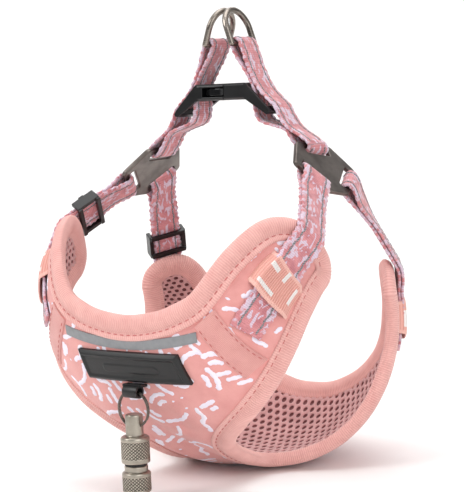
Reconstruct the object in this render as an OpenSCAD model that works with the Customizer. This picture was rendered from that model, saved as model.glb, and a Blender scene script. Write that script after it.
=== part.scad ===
// Step-in dog harness: padded chest vest, four webbing straps, two steel strap plates,
// contoured side-release buckle, two leash rings and an address capsule on the chest.
// Millimetres, +Z up, -Y is the dog's chest side, +X is the harness's own right-hand side.
// Origin: under the middle of the vest, at the height of the lowest point of its edge roll.

/* [Webbing] */
// width of the strap webbing
web_w = 15; // [10:0.5:25]
// thickness of one layer of webbing
web_t = 1.5; // [1:0.1:2.5]
// distance between the middles of two webbing layers that are sewn together
ply_gap = 1.7; // [1.6:0.05:2.4]

/* [Vest] */
// radius of the bowl the vest is formed to, at its lowest line
bowl_radius = 71; // [60:0.5:90]
// extra radius towards the chest
chest_rise = 19; // [0:0.5:30]
// extra radius towards the rear
rear_rise = 13.5; // [0:0.5:30]
// half width of the bowl at the chest
bowl_half = 74; // [60:0.5:90]
// half width of the bridge between the leg openings
bridge_half = 22; // [15:0.5:35]
// half width of the rolled edge
roll_half_w = 5.2; // [3:0.1:8]
// half thickness of the rolled edge
roll_half_t = 3.4; // [2:0.1:5]
// thickness of the outer fabric
shell_t = 0.8; // [0.5:0.1:2]
// thickness of the foam
foam_t = 1.6; // [1:0.1:5]
// thickness of the mesh lining
mesh_t = 0.9; // [0.5:0.1:2]

/* [Plates and rings] */
// width of a strap plate, front to rear
plate_w = 40; // [34:1:50]
// thickness of a strap plate
plate_t = 2.4; // [1.5:0.1:4]
// opening of a plate slot
slot_w = 3.8; // [3:0.1:6]
// turn of the right and left plates in their own plane, rear end down when negative
plate_turn = [-12, 2]; // [-30:1:30]
// wire diameter of the leash rings
ring_wire = 3; // [2:0.1:5]
// inside width of the leash rings
ring_in = 16; // [15:0.5:25]
// lean of the leash rings towards each other
ring_lean = 19; // [0:1:40]

/* [Buckle] */
// width of the buckle, front to rear
buckle_w = 20; // [18:0.5:28]
// thickness of the buckle body
buckle_t = 8; // [6:0.5:12]

/* [Chest ring and capsule] */
// outside diameter of the split ring
split_d = 18; // [14:0.5:25]
// wire thickness of the split ring
split_wire = 1.6; // [1:0.1:2.5]
// outside diameter of the capsule
capsule_d = 13; // [10:0.5:18]
// length of the capsule from the top of its eye to its foot
capsule_l = 35.5; // [30:0.5:50]

/* [Hidden] */

fabric_pink = "#e39a94";
roll_pink = "#f0b3ab";
mesh_pink = "#c98f8c";
tape_peach = "#f2b79c";
strap_pink = "#e5a3a6";
steel = "#8d8883";
black = "#1c1c1d";

bowl_y = -5;
bowl_z = 75;
lowest_line = 68;
chest_rate = 0.776;
rear_rate = 1.125;
squareness = 2.5;
squareness_swing = 0.6;
flare = 0.02;
step = 0.2;
skin_gap = 0.28;
foam_in = -foam_t / 2;
foam_out = foam_t / 2;
shell_in = foam_out + skin_gap;
shell_out = shell_in + shell_t;
mesh_out = foam_in - skin_gap;
mesh_in = mesh_out - mesh_t;
on_shell = shell_out + 0.15;

// ---- small helpers ----
function unit(a) = a / norm(a);
function mix(a, b, f) = a + (b - a) * f;
function hermite(a, b, c, d, f) = b + 0.5 * f * (c - a
    + f * (2 * a - 5 * b + 4 * c - d + f * (3 * (b - c) + d - a)));
function pick(v, i) = v[max(0, min(len(v) - 1, i))];
// smooth value of a list at f = 0 (first entry) to 1 (last entry)
function smooth(v, f) = let (g = max(0, min(1, f)) * (len(v) - 1), i = min(floor(g), len(v) - 2))
    hermite(pick(v, i - 1), v[i], v[i + 1], pick(v, i + 2), g - i);

// ---- the bowl: p is the angle round the dog's chest (0 chest, 90 belly, 180 rear) ----
function bowl_r(p) = p < lowest_line
    ? bowl_radius + chest_rise * pow(sin(chest_rate * (lowest_line - p)), 2)
    : bowl_radius + rear_rise * pow(sin(rear_rate * (p - lowest_line)), 2);
function bowl_n(p) = squareness + squareness_swing * cos(p);
function pull_in(p, x) = let (n = bowl_n(p))
    pow(max(1 - pow(abs(x) / (bowl_half + flare * p), n), 0.000001), 1 / n);
function on_bowl(q) = let (r = bowl_r(q[0]) * pull_in(q[0], q[1]))
    [q[1], bowl_y - r * cos(q[0]), bowl_z - r * sin(q[0])];
function along_p(q) = (on_bowl(q + [step, 0]) - on_bowl(q - [step, 0])) / (2 * step);
function along_x(q) = (on_bowl(q + [0, step]) - on_bowl(q - [0, step])) / (2 * step);
function normal(q) = unit(cross(along_p(q), along_x(q)));
function skin(q, h) = on_bowl(q) + h * normal(q);

// ---- outline of the vest in (p, x) ----
neck_p = [-2.5, -3.4, -6, -11.5, -25.5, -40.5, -46.3, -42.8, -32];
rear_p = [143, 143.7, 146.8, 152, 163, 198, 206, 203.5, 193.5];
arm_wide = [37, 28];
function arm_edge(p) = 72 - (72 - bridge_half) / (1 + pow((p - 67) / arm_wide[p < 67 ? 0 : 1], 4));
function even(v, f) = smooth(concat([for (i = [len(v) - 1:-1:1]) v[i]], v), (f + 1) / 2);
// f runs -1 to 1 across the vest, v runs 0 at the neck to 1 at the rear
function vest_q(f, v) = let (p = mix(even(neck_p, f), even(rear_p, f), v))
    [p, sin(90 * f) * arm_edge(p)];

// ---- solids built from rows of points ----
function flat(v) = [for (row = v) each row];
// quads from column turn_at on are split along their other diagonal; paired ends are closed
// by quads between the two halves of the row
module swept(rows, closed = false, turn_at = 1000, paired = false) {
    n = len(rows);
    m = len(rows[0]);
    last = closed ? n - 1 : n - 2;
    sides = [for (i = [0:last], j = [0:m - 1]) each let (k = (i + 1) % n, l = (j + 1) % m)
        j < turn_at ? [[i * m + j, i * m + l, k * m + l], [i * m + j, k * m + l, k * m + j]]
        : [[i * m + j, i * m + l, k * m + j], [i * m + l, k * m + l, k * m + j]]];
    z = (n - 1) * m;
    caps = closed ? [] : paired ? [for (j = [0:m / 2 - 2]) each [
        [j + 1, j, m - 1 - j, m - 2 - j], [z + j, z + j + 1, z + m - 2 - j, z + m - 1 - j]]]
        : [[for (j = [m - 1:-1:0]) j], [for (j = [0:m - 1]) z + j]];
    polyhedron(flat(rows), concat(sides, caps));
}
// a sheet between two equal grids of points
module sheet(low, high) {
    n = len(low);
    m = len(low[0]);
    swept([for (i = [0:n - 1]) concat(high[i], [for (j = [m - 1:-1:0]) low[i][j]])],
        turn_at = m, paired = true);
}
// a band of webbing through the points c, its width along w, its layers t thick
function band_rows(c, w, wide, t) = [for (i = [0:len(c) - 1]) let (
    run = unit(pick(c, i + 1) - pick(c, i - 1)), up = unit(cross(w[i], run)),
    a = w[i] * wide / 2, b = up * t / 2) [c[i] - a - b, c[i] + a - b, c[i] + a + b, c[i] - a + b]];

// ---- vest layers, ending just inside the rolled edge ----
across = 22;
rows_n = 38;
inset = 6.8;
inner_end = 0.83;
side_probe = 1.5;
function edge_point(p) = on_bowl([p, arm_edge(p)]);
// how far the layers stop short of the arm edge, measured in x
function inner_half(p) = arm_edge(p) - inset / norm(cross(unit(edge_point(p + 1) - edge_point(p - 1)),
    along_x([p, arm_edge(p) - side_probe])));
function inset_p(f, v) = inset / norm(cross(unit(on_bowl(vest_q(f + 0.02, v))
    - on_bowl(vest_q(f - 0.02, v))), along_p(vest_q(f, v))));
function inner_end_q(f, v, way) = let (q = vest_q(f, v), p = q[0] + way * inset_p(f, v))
    [p, max(-1, min(1, q[1] / inner_half(p)))];
// f and v as in vest_q, but inside the rolled edge
function inner_q(f, v) = let (
    e = mix(inner_end_q(f * inner_end, 0, 1), inner_end_q(f * inner_end, 1, -1), v))
    [e[0], (abs(f) > 0.999 ? sign(f) : e[1]) * inner_half(e[0])];
module vest_layer(low, high) {
    qs = [for (j = [0:rows_n]) [for (i = [-across / 2:across / 2])
        inner_q(2 * i / across, j / rows_n)]];
    sheet([for (r = qs) [for (q = r) skin(q, low)]], [for (r = qs) [for (q = r) skin(q, high)]]);
}
roll_sides = 10;
// the whole edge as one loop: neck, right armhole, rear, left armhole
neck_n = 44;
arm_n = 44;
edge_n = 2 * (neck_n + arm_n);
function edge_q(k) = let (i = (k + edge_n) % edge_n)
    i < neck_n ? vest_q(2 * i / neck_n - 1, 0)
    : i < neck_n + arm_n ? vest_q(1, (i - neck_n) / arm_n)
    : i < 2 * neck_n + arm_n ? vest_q(1 - 2 * (i - neck_n - arm_n) / neck_n, 1)
    : vest_q(-1, 1 - (i - 2 * neck_n - arm_n) / arm_n);
function roll_ring(k) = let (q = edge_q(k), n = normal(q),
    run = unit(on_bowl(edge_q(k + 1)) - on_bowl(edge_q(k - 1))), side = cross(run, n))
    [for (j = [0:roll_sides - 1]) on_bowl(q) + side * roll_half_w * cos(360 * j / roll_sides)
        + n * roll_half_t * sin(360 * j / roll_sides)];
module roll(first, last) swept([for (k = [first:last]) roll_ring(k)]);
module chest_shell() color(fabric_pink) vest_layer(shell_in, shell_out);
module foam_pad() color("#dddddd") vest_layer(foam_in, foam_out);
module mesh_lining() color(mesh_pink) vest_layer(mesh_in, mesh_out);
module neck_binding() color(roll_pink) roll(0, neck_n);
module rear_binding() color(roll_pink) roll(neck_n + arm_n, 2 * neck_n + arm_n);
module armhole_binding_right() color(roll_pink) roll(neck_n, neck_n + arm_n);
module armhole_binding_left() color(roll_pink) roll(2 * neck_n + arm_n, edge_n);

// ---- trims sewn to the chest ----
// a patch between four corners in (p, x): a to b is its first row, d to c its last
module patch(a, b, c, d, low, high, nu, nv) {
    qs = [for (j = [0:nv]) [for (i = [0:nu])
        mix(mix(a, d, j / nv), mix(b, c, j / nv), i / nu)]];
    lift = [for (j = [0:nv]) smooth(low, j / nv)];
    sheet([for (j = [0:nv]) [for (q = qs[j]) skin(q, lift[j])]],
        [for (j = [0:nv]) [for (q = qs[j]) skin(q, lift[j] + high)]]);
}
function flip(q) = [q[0], -q[1]];
module side_patch(f, k, low, high, nu, nv) {
    if (f > 0) patch(k[0], k[1], k[2], k[3], low, high, nu, nv);
    else patch(flip(k[1]), flip(k[0]), flip(k[3]), flip(k[2]), low, high, nu, nv);
}
strip_top = 1.3;
strip_drop = 0.0024;
strip_wide = 3.2;
strip_half = 36.5;
strip_t = 0.35;
module reflective_strip() color("#b9b7b6") {
    xs = [for (i = [-8:8]) i * strip_half / 8];
    qs = [for (k = [0, 1]) [for (x = xs) [strip_top - strip_drop * x * x + k * strip_wide, x]]];
    sheet([for (r = qs) [for (q = r) skin(q, on_shell)]],
        [for (r = qs) [for (q = r) skin(q, on_shell + strip_t)]]);
}
badge_t = 2.6;
badge_corners = [[5.2, -29], [5.2, 26.5], [15.3, 30], [15.3, -27]];
module badge() color(black) patch(badge_corners[0], badge_corners[1], badge_corners[2],
    badge_corners[3], [on_shell, on_shell], badge_t, 12, 3);

band_corners = [[-3.4, 36.3], [-9, 44.8], [9.3, 60.2], [15, 51.6]];
band_t = 1.2;
module front_band(f) color(roll_pink) side_patch(f, band_corners, [on_shell, on_shell], band_t, 3, 8);
module front_band_right() front_band(1);
module front_band_left() front_band(-1);

// ---- strap tails on the vest ----
front_path = [[-1.8, 54.8], [-12, 60.6], [-24, 64.4], [-39.5, 66.2]];
rear_path = [[152, 65], [167, 65], [182, 65], [198.5, 65.2]];
front_lift = [on_shell, on_shell, on_shell, on_shell, 3.7];
rear_lift = [on_shell, on_shell, on_shell, on_shell, 3.7];
tail_n = 14;
tail_flat = 2;
// the step in (p, x) that moves a point by the vector d on the bowl
function moved(q, d) = let (u = along_p(q), v = along_x(q), a = u * u, b = u * v, c = v * v,
    e = u * d, g = v * d, k = a * c - b * b) q + [(e * c - g * b) / k, (g * a - e * b) / k];
function tail_q(path, f) = [smooth([for (q = path) q[0]], f), smooth([for (q = path) q[1]], f)];
function tail_w(path, f) = let (q = tail_q(path, f), a = tail_q(path, f - 0.02), b = tail_q(path, f + 0.02))
    unit(cross(normal(q), on_bowl(b) - on_bowl(a)));
function tail_row(path, f, h) = let (q = tail_q(path, f), w = tail_w(path, f))
    [for (k = [-tail_flat:tail_flat]) skin(moved(q, w * web_w / 2 * k / tail_flat), h)];
module tail(path, lift) {
    fs = [for (i = [0:tail_n]) i / tail_n];
    sheet([for (f = fs) tail_row(path, f, smooth(lift, f))],
        [for (f = fs) tail_row(path, f, smooth(lift, f) + web_t)]);
}
module front_tail_right() color(strap_pink) tail(front_path, front_lift);
module front_tail_left() color(strap_pink) mirror([1, 0, 0]) tail(front_path, front_lift);
module rear_tail_right() color(strap_pink) tail(rear_path, rear_lift);
module rear_tail_left() color(strap_pink) mirror([1, 0, 0]) tail(rear_path, rear_lift);

keeper_t = 0.8;
keeper_up = on_shell + web_t + 0.85;
front_keeper_corners = [[-19.5, 55.6], [-32, 61.2], [-19.5, 68.9], [-6, 65.9]];
rear_keeper_corners = [[184, 59.8], [160, 59.2], [160, 69.8], [184, 69.8]];
keeper_lift = [on_shell, keeper_up - 0.25, keeper_up, keeper_up, keeper_up, keeper_up, keeper_up,
    keeper_up, keeper_up, keeper_up - 0.25, on_shell];
module front_keeper(f) color(tape_peach)
    side_patch(f, front_keeper_corners, keeper_lift, keeper_t, 4, 16);
module rear_keeper(f) color(tape_peach)
    side_patch(f, rear_keeper_corners, keeper_lift, keeper_t, 6, 16);
module front_keeper_right() front_keeper(1);
module front_keeper_left() front_keeper(-1);
module rear_keeper_right() rear_keeper(1);
module rear_keeper_left() rear_keeper(-1);

// ---- strap plates: a runs front to rear on the plate, b runs up it ----
plate_c = [51, 0, 144];
plate_lean = 38.7;
up_dir = [-sin(plate_lean), 0, cos(plate_lean)];
out_dir = [cos(plate_lean), 0, sin(plate_lean)];
corner_r = 3;
plate_side = [plate_w / 2 - 1.5, -0.5];
plate_foot = [5.2, -13.2];
plate_head = [10.5, 10.5];
bar = 2.7;
low_run = unit(plate_side - plate_foot);
low_out = [low_run[1], -low_run[0]];
low_edge = (plate_side + plate_foot) / 2 + low_out * corner_r;
low_slot = low_edge - low_out * (bar + slot_w / 2);
low_bar = low_edge - low_out * bar / 2;
head_y = plate_head[1] + corner_r;
slot_l = web_w + 2.2;
function plate_a(t) = [0, cos(t), 0] + up_dir * sin(t);
function plate_b(t) = [0, -sin(t), 0] + up_dir * cos(t);
function on_plate(t, ab) = plate_c + plate_a(t) * ab[0] + plate_b(t) * ab[1];
module slot(at, turn) translate(at) rotate(turn) square([slot_l, slot_w], center = true);
module plate_shape() {
    difference() {
        hull() {
            for (s = [-1, 1], at = [plate_side, plate_foot, plate_head]) {
                translate([s * at[0], at[1]]) circle(corner_r, $fn = 40);
            }
        }
        slot([0, head_y - bar - slot_w / 2], 0);
        slot(low_slot, atan2(low_run[1], low_run[0]));
        slot([-low_slot[0], low_slot[1]], -atan2(low_run[1], low_run[0]));
    }
}
module plate(t) translate(plate_c) rotate([0, -plate_lean, 0]) rotate([90, 0, 90]) rotate(t)
    linear_extrude(plate_t, center = true) plate_shape();
module plate_right() color(steel) plate(plate_turn[0]);
module plate_left() color(steel) mirror([1, 0, 0]) plate(plate_turn[1]);

// ---- side straps: doubled webbing from the vest, round a plate bar and back ----
bar_turn = 2.85;
turn_n = 8;
loop_len = 13;
free_n = 14;
exit_lift = 6.8;
front_exit = [-43.5, 66.2];
rear_exit = [204, 64.8];
function ease(f) = let (g = max(0, min(1, f))) g * g * (3 - 2 * g);
function strap_e(q) = skin(q, exit_lift);
function strap_f(t, s) = on_plate(t, [s * low_bar[0], low_bar[1]]);
function strap_d(t, s, q) = unit(strap_f(t, s) - strap_e(q));
function strap_bar_w(t, s) = unit(plate_a(t) * low_run[0] + plate_b(t) * s * low_run[1]);
function strap_exit_w(t, s, q) = unit(cross(strap_d(t, s, q), normal(q)));
module side_strap(t, s, q) {
    e = strap_e(q);
    f = strap_f(t, s);
    d = strap_d(t, s, q);
    long = norm(f - e);
    wb = strap_bar_w(t, s);
    we = strap_exit_w(t, s, q);
    us = [for (i = [0:free_n]) i / free_n];
    ws = [for (u = us) unit(mix(we, wb, ease((u - 0.5) * 3)))];
    gs = [for (u = us) mix(ply_gap / 2, bar_turn, ease(1 - (1 - u) * long / loop_len))];
    outer = [for (i = [0:free_n]) mix(e, f, us[i]) + unit(cross(ws[i], d)) * gs[i]];
    inner = [for (i = [free_n:-1:0]) mix(e, f, us[i]) - unit(cross(ws[i], d)) * gs[i]];
    nb = unit(cross(wb, d));
    arc = [for (k = [1:turn_n - 1]) f + bar_turn * (nb * cos(180 * k / turn_n) + d * sin(180 * k / turn_n))];
    swept(band_rows(concat(outer, arc, inner),
        concat(ws, [for (k = [1:turn_n - 1]) wb], [for (i = [free_n:-1:0]) ws[i]]), web_w, web_t));
}
module front_strap_right() color(strap_pink) side_strap(plate_turn[0], -1, front_exit);
module front_strap_left() color(strap_pink) mirror([1, 0, 0]) side_strap(plate_turn[1], -1, front_exit);
module rear_strap_right() color(strap_pink) side_strap(plate_turn[0], 1, rear_exit);
module rear_strap_left() color(strap_pink) mirror([1, 0, 0]) side_strap(plate_turn[1], 1, rear_exit);

// ---- upper straps: a sewn loop from the plate past the buckle to the leash ring ----
ring_bar = [7.7, 0, 204];
ring_turn = ring_wire / 2 + 0.25 + web_t / 2;
upper_out = [bar_turn, 2.1, 0.87, 1.5, 3.1, 1.9, 0.87, 0.87, 1.2, 2.2, ring_turn];
upper_in = [bar_turn, 2.1, 0.87, 4.2, 8, 6.3, 1.8, 0.87, 1.2, 2.2, ring_turn];
upper_n = 26;
upper_bow = 3.6;
settle = 2.6;
module upper_strap(t) {
    foot = on_plate(t, [0, head_y - bar / 2]);
    d = unit(ring_bar - [foot[0], 0, foot[2]]);
    us = [for (i = [0:upper_n]) i / upper_n];
    ws = [for (u = us) unit(mix(plate_a(t), [0, 1, 0], ease(u * settle)))];
    bow = cross(d, [0, 1, 0]) * upper_bow;
    mid = [for (u = us) let (m = mix([foot[0], 0, foot[2]], ring_bar, u))
        m + [0, foot[1] * (1 - ease(u * settle)), 0] + bow * sin(180 * u)];
    ns = [for (w = ws) unit(cross(w, d))];
    outer = [for (i = [0:upper_n]) mid[i] + ns[i] * max(ply_gap / 2, smooth(upper_out, us[i]))];
    inner = [for (i = [upper_n:-1:0]) mid[i] - ns[i] * max(ply_gap / 2, smooth(upper_in, us[i]))];
    ks = [for (k = [1:turn_n - 1]) 180 * k / turn_n];
    top = [for (k = ks) mid[upper_n] + ring_turn * (ns[upper_n] * cos(k) + d * sin(k))];
    low = [for (k = ks) mid[0] - bar_turn * (ns[0] * cos(k) + d * sin(k))];
    c = concat(outer, top, inner, low);
    w = concat(ws, [for (k = ks) ws[upper_n]], [for (i = [upper_n:-1:0]) ws[i]], [for (k = ks) ws[0]]);
    n = len(c);
    rows = [for (i = [0:n - 1]) let (run = unit(c[(i + 1) % n] - c[(i + n - 1) % n]),
        up = unit(cross(w[i], run)), a = w[i] * web_w / 2, b = up * web_t / 2)
        [c[i] - a - b, c[i] + a - b, c[i] + a + b, c[i] - a + b]];
    swept(rows, closed = true);
}
module upper_strap_right() color(strap_pink) upper_strap(plate_turn[0]);
module upper_strap_left() color(strap_pink) mirror([1, 0, 0]) upper_strap(plate_turn[1]);

// ---- leash rings ----
ring_leg = 7.5;
module leash_ring() {
    r = ring_wire / 2;
    half = ring_in / 2 + r;
    translate(ring_bar) rotate([0, -ring_lean, 0]) {
        rotate([90, 0, 0]) cylinder(h = 2 * half, r = r, center = true, $fn = 32);
        for (s = [-1, 1]) {
            translate([0, s * half, 0]) sphere(r, $fn = 32);
            translate([0, s * half, 0]) cylinder(h = ring_leg, r = r, $fn = 32);
        }
        translate([0, 0, ring_leg]) rotate([90, 0, 90])
            rotate_extrude(angle = 180, $fn = 48) translate([half, 0]) circle(r, $fn = 24);
    }
}
module leash_ring_right() color(steel) leash_ring();
module leash_ring_left() color(steel) mirror([1, 0, 0]) leash_ring();

// ---- buckle ----
buckle_z = 181;
wing_bar = [26.6, 171.2];
wing_root = 13.8;
wing_bar_r = 1.5;
wing_tilt = atan2(buckle_z - wing_bar[1] - 1.9, wing_bar[0] - wing_root);
mouth = 2;
seam = 0.25;
half_t = buckle_t / 2;
edge_cut = 1;
module wing() {
    difference() {
        rotate([90, 0, 0]) linear_extrude(buckle_w, center = true) polygon([
            [wing_root - 0.2, buckle_z + half_t], [wing_root + 0.6, buckle_z + half_t],
            [wing_bar[0] + 0.5, wing_bar[1] + 1.5], [wing_bar[0] + 1.5, wing_bar[1] + 0.1],
            [wing_bar[0] + 1, wing_bar[1] - 1.2],
            [wing_bar[0] - 0.4, wing_bar[1] - 1.6], [wing_root + 0.8, buckle_z - half_t],
            [wing_root - 0.2, buckle_z - half_t]]);
        translate([wing_bar[0], 0, wing_bar[1]]) rotate([0, wing_tilt, 0])
            translate([-9, 0, 0]) cube([14.8, web_w + 1.6, 16], center = true);
    }
}
// the body block of either half, its four long edges cut back
module block(x0, x1, cut) rotate([90, 0, 90]) translate([0, 0, x0]) linear_extrude(x1 - x0) polygon([
    [-buckle_w / 2 + cut, buckle_z - half_t], [buckle_w / 2 - cut, buckle_z - half_t],
    [buckle_w / 2, buckle_z - half_t + cut], [buckle_w / 2, buckle_z + half_t - cut],
    [buckle_w / 2 - cut, buckle_z + half_t], [-buckle_w / 2 + cut, buckle_z + half_t],
    [-buckle_w / 2, buckle_z + half_t - cut], [-buckle_w / 2, buckle_z - half_t + cut]]);
module buckle_socket() color(black) {
    wing();
    difference() {
        block(mouth, wing_root, edge_cut);
        translate([mouth - 1, -6.9, buckle_z - 2.4]) cube([4, 13.8, 4.8]);
        translate([mouth + 1.7, -8.6, buckle_z - 2.4]) cube([6.8, 17.2, 4.8]);
    }
}
module buckle_plug() color(black) {
    mirror([1, 0, 0]) wing();
    difference() {
        block(-wing_root, mouth - seam, edge_cut);
        for (s = [-1, 1]) {
            translate([-10.8, s * 7 - 4.6, buckle_z - 2.3]) cube([14, 9.2, 4.6]);
        }
    }
}
prong_shape = [[-10.5, 4.6], [-10.5, 7.2], [-7, 8.7], [-3, 9.5], [-0.4, 9.4], [1, 8.3], [1.3, 6.4],
    [3.95, 6.4], [4.1, 8.2], [6.6, 7], [7.6, 5.4], [1, 4.9], [-6, 4.7]];
module prong(s) color(black) translate([0, 0, buckle_z - 1.8])
    linear_extrude(3.6) polygon([for (q = prong_shape) [q[0], s * q[1]]]);
module prong_front() prong(-1);
module prong_rear() prong(1);

// ---- sliding adjusters on the left side straps ----
slider_len = 13;
rail = [2, 5.6];
slider_at = [17.6, 13.6];
module slider(t, s, q, at) {
    d = strap_d(t, s, q);
    w = strap_exit_w(t, s, q);
    n = cross(w, d);
    o = strap_e(q) + d * at;
    half = ply_gap / 2 + web_t / 2 + 0.3;
    multmatrix([[w[0], d[0], n[0], o[0]], [w[1], d[1], n[1], o[1]], [w[2], d[2], n[2], o[2]], [0, 0, 0, 1]]) {
        for (k = [-1, 1]) {
            translate([k * (web_w / 2 + 0.5 + rail[0] / 2), 0, 0])
                cube([rail[0], slider_len, rail[1]], center = true);
            translate([0, k * (slider_len / 2 - 1), -half - 1]) cube([web_w + 4, 2, 2], center = true);
        }
        translate([0, 0, half + 1]) cube([web_w + 4, 3, 2], center = true);
    }
}
module front_slider() color(black) mirror([1, 0, 0]) slider(plate_turn[1], -1, front_exit, slider_at[0]);
module rear_slider() color(black) mirror([1, 0, 0]) slider(plate_turn[1], 1, rear_exit, slider_at[1]);

// ---- tab, split ring and address capsule ----
hang = [0, -86.6, 48.8];
loop_bore = 1.9;
loop_wall = 1.1;
loop_half = 4;
module badge_tab() color(black) {
    difference() {
        union() {
            translate(hang) rotate([0, 90, 0])
                cylinder(h = 2 * loop_half, r = loop_bore + loop_wall, center = true, $fn = 40);
            translate([-5.5, hang[1] - 0.5, hang[2] + loop_bore + 0.1]) cube([11, 4.2, 1.2]);
        }
        translate(hang) rotate([0, 90, 0]) cylinder(h = 12, r = loop_bore, center = true, $fn = 40);
    }
}
wire_r = split_wire / 2;
split_r = split_d / 2 - wire_r;
split_c = [0, hang[1], hang[2] + 0.25 - split_r];
module split_ring() color(steel) translate(split_c) rotate([90, 0, 0])
    rotate_extrude($fn = 64) translate([split_r, 0]) circle(wire_r, $fn = 24);
eye = [0, hang[1], split_c[2] - split_r + 0.45];
eye_bore = 1.75;
eye_d = 8;
eye_top = eye[2] + 5.6;
foot = eye_top - capsule_l;
cap_top = eye[2] - 4.4;
cap_low = cap_top - 12.2;
waist = 2.8;
stud_d = 8.2;
stud_l = 5;
thread_gap = 0.15;
slip_d = 4.4;
well_d = 5.2;
cap_well = 10;
chamfer = 0.9;
module turned(z0, z1, r, c) translate([0, hang[1], 0]) rotate_extrude($fn = 72)
    polygon([[0, z0], [r - c, z0], [r, z0 + c], [r, z1 - c], [r - c, z1], [0, z1]]);
module upright(z0, z1, r) translate([0, hang[1], z0]) cylinder(h = z1 - z0, r = r, $fn = 48);
module capsule_cap() color(steel) {
    difference() {
        union() {
            turned(cap_top - 0.5, eye_top, eye_d / 2, 0.8);
            turned(cap_low, cap_top, capsule_d / 2, chamfer);
        }
        translate(eye) rotate([0, 90, 0]) cylinder(h = 12, r = eye_bore, center = true, $fn = 40);
        upright(cap_low - 1, cap_low + cap_well, stud_d / 2 + thread_gap);
    }
}
seal_t = 1;
barrel_top = cap_low - seal_t - 0.2;
module capsule_seal() color("#3a3a3a") translate([0, hang[1], barrel_top + seal_t / 2 + 0.1])
    rotate_extrude($fn = 48) translate([stud_d / 2 + 0.1 + seal_t / 2, 0])
        circle(seal_t / 2 - 0.02, $fn = 20);
module capsule_barrel() color(steel) {
    difference() {
        union() {
            turned(foot, barrel_top - waist, capsule_d / 2, chamfer);
            upright(barrel_top - waist - 0.5, barrel_top, capsule_d / 2 - 1.2);
            upright(barrel_top - 0.5, barrel_top + stud_l, stud_d / 2);
        }
        upright(foot + 1.5, barrel_top + stud_l + 1, well_d / 2);
    }
}
module address_slip() color("#f4f2ea") difference() {
    upright(foot + 1.8, barrel_top + stud_l - 1, slip_d / 2);
    upright(foot, barrel_top + stud_l, slip_d / 2 - 0.5);
}

chest_shell();
foam_pad();
mesh_lining();
neck_binding();
rear_binding();
armhole_binding_right();
armhole_binding_left();
reflective_strip();
badge();
badge_tab();
split_ring();
capsule_cap();
capsule_seal();
address_slip();
capsule_barrel();
front_band_right();
front_band_left();
front_tail_right();
front_tail_left();
front_keeper_right();
front_keeper_left();
rear_tail_right();
rear_tail_left();
rear_keeper_right();
rear_keeper_left();
front_strap_right();
front_strap_left();
rear_strap_right();
rear_strap_left();
plate_right();
plate_left();
upper_strap_right();
upper_strap_left();
leash_ring_right();
leash_ring_left();
buckle_socket();
buckle_plug();
prong_front();
prong_rear();
front_slider();
rear_slider();
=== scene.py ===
import math

import bpy
import numpy as np
from mathutils import Matrix, Vector


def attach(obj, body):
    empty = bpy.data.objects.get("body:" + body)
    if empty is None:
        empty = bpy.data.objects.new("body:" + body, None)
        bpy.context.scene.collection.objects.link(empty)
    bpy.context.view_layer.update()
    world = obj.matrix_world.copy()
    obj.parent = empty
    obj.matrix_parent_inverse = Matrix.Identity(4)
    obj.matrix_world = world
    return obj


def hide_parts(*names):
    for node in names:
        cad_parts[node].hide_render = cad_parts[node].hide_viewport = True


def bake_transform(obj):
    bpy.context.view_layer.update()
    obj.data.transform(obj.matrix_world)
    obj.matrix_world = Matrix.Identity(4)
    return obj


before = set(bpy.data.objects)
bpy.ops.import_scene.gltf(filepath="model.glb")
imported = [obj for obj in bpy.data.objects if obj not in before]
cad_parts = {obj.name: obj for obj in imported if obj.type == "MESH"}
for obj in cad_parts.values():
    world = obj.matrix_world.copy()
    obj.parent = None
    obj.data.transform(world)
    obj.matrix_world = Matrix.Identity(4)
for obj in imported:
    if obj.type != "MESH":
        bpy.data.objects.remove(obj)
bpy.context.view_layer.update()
rng = np.random.default_rng(11)
MM = 0.001


def show(o):
    bpy.context.scene.collection.objects.link(o)


# -------------------- colours and node graphs
def rgb(code):
    c = [int(code[i:i + 2], 16) / 255 for i in (1, 3, 5)]
    return [*(v / 12.92 if v < 0.04045 else ((v + 0.055) / 1.055) ** 2.4 for v in c), 1]


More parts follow.
